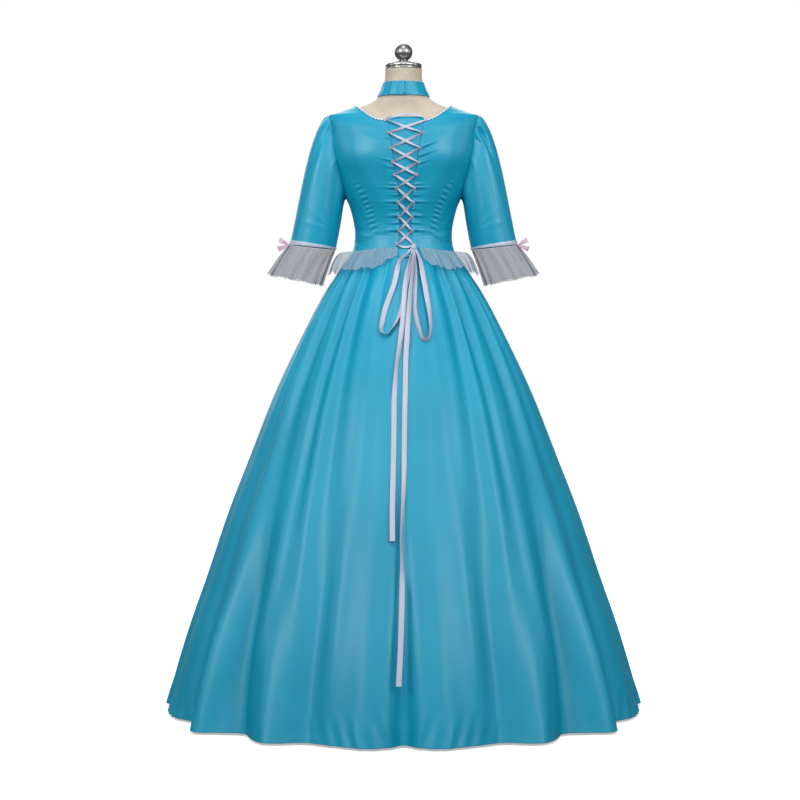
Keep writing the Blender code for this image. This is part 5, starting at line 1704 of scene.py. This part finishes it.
def make_knot():
    """The bow's knot, wrapped by its ribbon in soft pleats."""
    surface, normal = back_surface(*np.array(KNOT_PLACE))
    u, v = ball_turns(*KNOT_GRID)
    pleat = 1 + KNOT_PLEAT * np.cos(4 * u + KNOT_TWIST * np.cos(v)) + KNOT_FINE * np.cos(9 * u)
    x = KNOT_RADII[0] * np.sin(v) * np.cos(u) * pleat
    y = KNOT_RADII[1] * np.sin(v) * np.sin(u) * pleat
    z = -KNOT_RADII[2] * np.cos(v) * (1 + KNOT_BULGE * np.cos(2 * u))
    points = surface + normal * KNOT_LIFT + points_of(x, y, z)
    lay("bow_knot_satin", "bow_knot", "ribbon", [(points, True, False)])


def lacing_route(first, lift, edge):
    """Route of a run of the lacing, whose first corner is on the side of first."""
    heights = np.array(LOOP_HEIGHTS)
    signs = first * np.where(np.arange(len(heights)) % 2 == 0, 1, -1)
    turns = points_of(LACING_CENTRE + signs * edge, heights)
    route = []
    if first < 0:
        for share, rise, width in TOP_RUN:
            route.append((LACING_CENTRE + edge[0] * share, heights[0] + rise, TOP_RUN_LIFT, width))
        turns[0, 1] += TOP_RUN_RISE
    for i, corner in enumerate(turns):
        for other in (i - 1, i + 1):
            if 0 <= other < len(turns):
                near = corner + unit(turns[other] - corner) * LACING_NEAR
                middle = (corner + turns[other]) / 2
                steps = [(*middle, lift, LACING_WIDTH), (*near, lift, LACING_NEAR_WIDTH)]
                route += steps if other < i else steps[1:]
            if other < i:
                route.append((*corner, lift, LACING_CORNER_WIDTH))
    if first > 0:
        for share, below, width in FOOT_RUN:
            side = LACING_CENTRE + share * (edge[-1] - FOOT_INSET)
            route.append((side, turns[-1, 1] - below, lift + FOOT_LIFT, width))
    return route


def lacing_loop(height, half, sign):
    """Grid of the small loop at a lacing edge that the ribbon passes through."""
    arc = np.linspace(*LOOP_ARC)[:, None]
    surface, normal = back_surface(LACING_CENTRE + sign * half, height)
    way = np.cross(normal, UP) * sign
    line = surface - way * np.cos(arc) * LOOP_REACH + UP * np.sin(arc) * LOOP_RISE
    line = line + normal * (LOOP_LIFT[0] + LOOP_LIFT[1] * np.cos(arc))
    return tube(line, LOOP_THREAD, LOOP_SIDES, normal), False, True


def make_lacing():
    """Two crossing runs of ribbon and the small loops that they pass through."""
    edge = half_gap(np.array(LOOP_HEIGHTS)) + LACING_OFF_EDGE
    for name, first, lift in LACING_RUNS:
        route = lacing_route(first, lift, edge)
        grid, _ = ribbon_grid(route, len(route) * LACING_STEPS, LACING_WIDTH, (0, 1))
        lay(name + "_satin", name, "lacing_ribbon", [(grid, False, False)], "ribbon", RIBBON)
    places = zip(LOOP_HEIGHTS, edge)
    grids = [lacing_loop(height, half, sign) for height, half in places for sign in (-1.0, 1.0)]
    lay("lacing_loops", None, "ribbon_edge", grids, "ribbon")


def make_tab():
    """The small tab of satin under the foot of the lacing."""
    sides = np.linspace(*TAB_SIDES, TAB_COLUMNS)[:, None]
    heights = np.linspace(*TAB_HEIGHTS, TAB_ROWS)
    off_middle = (sides - sum(TAB_SIDES) / 2) / (TAB_SIDES[1] - TAB_SIDES[0]) * 2
    below = (TAB_HEIGHTS[1] - heights) / (TAB_HEIGHTS[1] - TAB_HEIGHTS[0])
    surface, normal = back_surface(sides, heights + TAB_ROUND * off_middle**2 * below)
    grids = [(surface + normal * TAB_LIFT, False, False)]
    lay("lacing_tab_cloth", "lacing_tab", "satin", grids, thick=SATIN)


# Choker, dress form and stand


def choker_stitch(line, height):
    """Grid of one upright stitch of the choker's closure."""
    ends = body_at_angle(line, np.array([height, height + STITCH_LENGTH]))
    crown = STITCH_CROWN * np.sin(np.linspace(0.0, math.pi, STITCH_POINTS))
    stitch = body_out(resample(ends, STITCH_POINTS), STITCH_LIFT + crown)
    return tube(stitch, STITCH_THREAD, STITCH_SIDES, ACROSS), False, True


def make_choker():
    """A satin band round the neck whose ends lap at the centre back."""
    turn = np.linspace(*CHOKER_TURNS)[:, None]
    up = np.linspace(0.0, 1.0, CHOKER_ROWS)
    points = body_at_angle(turn, blend(*CHOKER_HEIGHTS, up))
    lift = CHOKER_LIFT + CHOKER_LAP_LIFT * eased(climb(turn, *CHOKER_LAP))
    lift = lift - CHOKER_EDGE * (2 * up - 1) ** 8
    lift = lift + CHOKER_WAVE * np.sin(turn * CHOKER_WAVE_RATE) * np.sin(3.0 * up)
    for line in CHOKER_STITCHES:
        lift = lift + STITCH_SWELL * bell(turn, line, STITCH_SWELL_REACH)
    band = body_out(points, lift)
    rests_on = ["form_torso"]
    lay_cloth("choker", "cloth", "satin", band, "stretched", rests_on, thick=CHOKER_THICKNESS)
    heights = CHOKER_HEIGHTS[0] + STITCH_FIRST + np.arange(STITCH_COUNT) * STITCH_STEP
    grids = [choker_stitch(line, height) for line in CHOKER_STITCHES for height in heights]
    lay("choker_stitches", None, "satin", grids)


def make_form():
    """The linen torso with its neck, smooth, with its cover's seams."""
    low = np.linspace(FORM_BOTTOM, FORM_SHOULDER[0], FORM_ROWS)
    heights = np.concatenate([low, np.linspace(FORM_SHOULDER[1], NECK_TOP, FORM_ROWS)])
    degrees = np.linspace(0.0, 360.0, FORM_AROUND, endpoint=False)[:, None]
    seams = sum(bell(turn_apart(degrees, at), 0.0, FORM_SEAM_REACH) for at in FORM_SEAMS)
    seams = seams * climb(heights, *FORM_SEAM_START)
    relief = -size(FORM, FORM_COLUMNS, "inset", heights) - FORM_SEAM_DEPTH * seams
    points = body_out(body_at_angle(degrees, heights), relief)
    points[:, 0, 2] = FORM_BOTTOM
    points[:, -1, 2] = NECK_TOP
    bottom, top = points[:, :1], points[:, -1:]
    rows = [bottom * FORM_CLOSING, bottom, points, top, top * FORM_CLOSING]
    lay("form_torso_linen", "form_torso", "linen", [(np.concatenate(rows, axis=1), True, False)])


def turned(profile, steps):
    """Grids of a turned shape from its profile, bottom to top."""
    radius, height = np.array(profile).T
    turn = np.linspace(0.0, FULL_TURN, steps, endpoint=False)[:, None]
    return [(points_of(radius * np.cos(turn), radius * np.sin(turn), height), True, False)]


def make_stand():
    """Neck cap and ball finial; the pole and base keep their solids."""
    lay("neck_cap_metal", "form_neck_cap", "metal", turned(NECK_CAP, NECK_CAP_COLUMNS))
    arc = np.radians(np.linspace(*FINIAL_ARC))
    ball = points_of(np.sin(arc), np.cos(arc)) * FINIAL_RADIUS + (0.0, FINIAL_HEIGHT)
    grids = turned([*FINIAL_FOOT, *ball], FINIAL_COLUMNS)
    lay("finial_metal", "form_finial", "dark_metal", grids, "metal")
    for node in ("form_pole", "form_base"):
        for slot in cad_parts[node].material_slots:
            slot.material = MATERIALS["metal"]


# Camera and light


def place_in_scene(name, data, place, turn):
    """An object of the scene at a place, turned by three angles."""
    made = bpy.data.objects.new(name, data)
    made.location = place
    made.rotation_euler = turn
    bpy.context.scene.collection.objects.link(made)
    return made


def make_camera():
    """The camera at the photograph's place."""
    data = bpy.data.cameras.new("camera")
    data.lens = CAMERA_LENS
    turn = (math.radians(CAMERA_TILT), 0.0, 0.0)
    bpy.context.scene.camera = place_in_scene("camera", data, CAMERA_PLACE, turn)


def make_room():
    """A room that looks white to the camera and lights the gown softly."""
    bpy.context.scene.view_settings.view_transform = "Standard"
    world = bpy.data.worlds.new("room")
    world.use_nodes = True
    tree = world.node_tree
    room = tree.nodes["Background"]
    room.inputs["Color"].default_value = WHITE
    room.inputs["Strength"].default_value = ROOM_LIGHT
    backdrop = add(tree, "ShaderNodeBackground", color=WHITE, strength=1.0)
    paths = add(tree, "ShaderNodeLightPath")
    mix = add(tree, "ShaderNodeMixShader")
    join(
        tree,
        (paths, "Is Camera Ray", mix, "Fac"),
        (room, "Background", mix, 1),
        (backdrop, "Background", mix, 2),
        (mix, "Shader", tree.nodes["World Output"], "Surface"),
    )
    bpy.context.scene.world = world


def make_lamp(name, kind, place, aim, width, height, power):
    """One lamp that looks from its place to its aim."""
    data = bpy.data.lights.new(name, kind)
    if kind == "AREA":
        data.shape = "RECTANGLE"
        data.size = width
        data.size_y = height
        data.spread = math.radians(BOX_SPREAD)
    else:
        data.angle = math.radians(width)
    data.energy = power
    x, y, z = np.array(aim) - np.array(place)
    turn = (math.atan2(math.hypot(x, y), -z), 0.0, math.atan2(y, x) - math.pi / 2)
    place_in_scene(name, data, place, turn)


def make_floor():
    """The pale floor, which only the camera sees."""
    mesh = bpy.data.meshes.new("floor")
    ways_out = ((-1, -1), (1, -1), (1, 1), (-1, 1))
    points = [(x * FLOOR_REACH, y * FLOOR_REACH, 0.0) for x, y in ways_out]
    mesh.from_pydata(points, [], [(0, 1, 2, 3)])
    mesh.materials.append(MATERIALS["floor"])
    floor = place_in_scene("floor", mesh, (0.0, 0.0, 0.0), (0.0, 0.0, 0.0))
    floor.visible_diffuse = False
    floor.visible_glossy = False


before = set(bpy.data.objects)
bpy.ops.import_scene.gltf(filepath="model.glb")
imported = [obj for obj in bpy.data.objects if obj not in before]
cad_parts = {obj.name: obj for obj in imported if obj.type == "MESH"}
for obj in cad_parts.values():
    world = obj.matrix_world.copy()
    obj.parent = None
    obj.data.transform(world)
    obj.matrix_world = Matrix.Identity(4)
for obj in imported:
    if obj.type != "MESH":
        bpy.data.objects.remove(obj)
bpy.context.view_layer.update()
make_camera()
MATERIALS = make_materials()
for ribbon in BOW_RIBBONS:
    bow_ribbon(*ribbon)
make_knot()
make_lacing()
make_tab()
make_bodice()
for sign, name in ((1, "right"), (-1, "left")):
    make_sleeve(sign, name)
make_skirt()
make_peplum()
make_choker()
make_form()
make_stand()
make_room()
for lamp in LAMPS:
    make_lamp(*lamp)
make_floor()
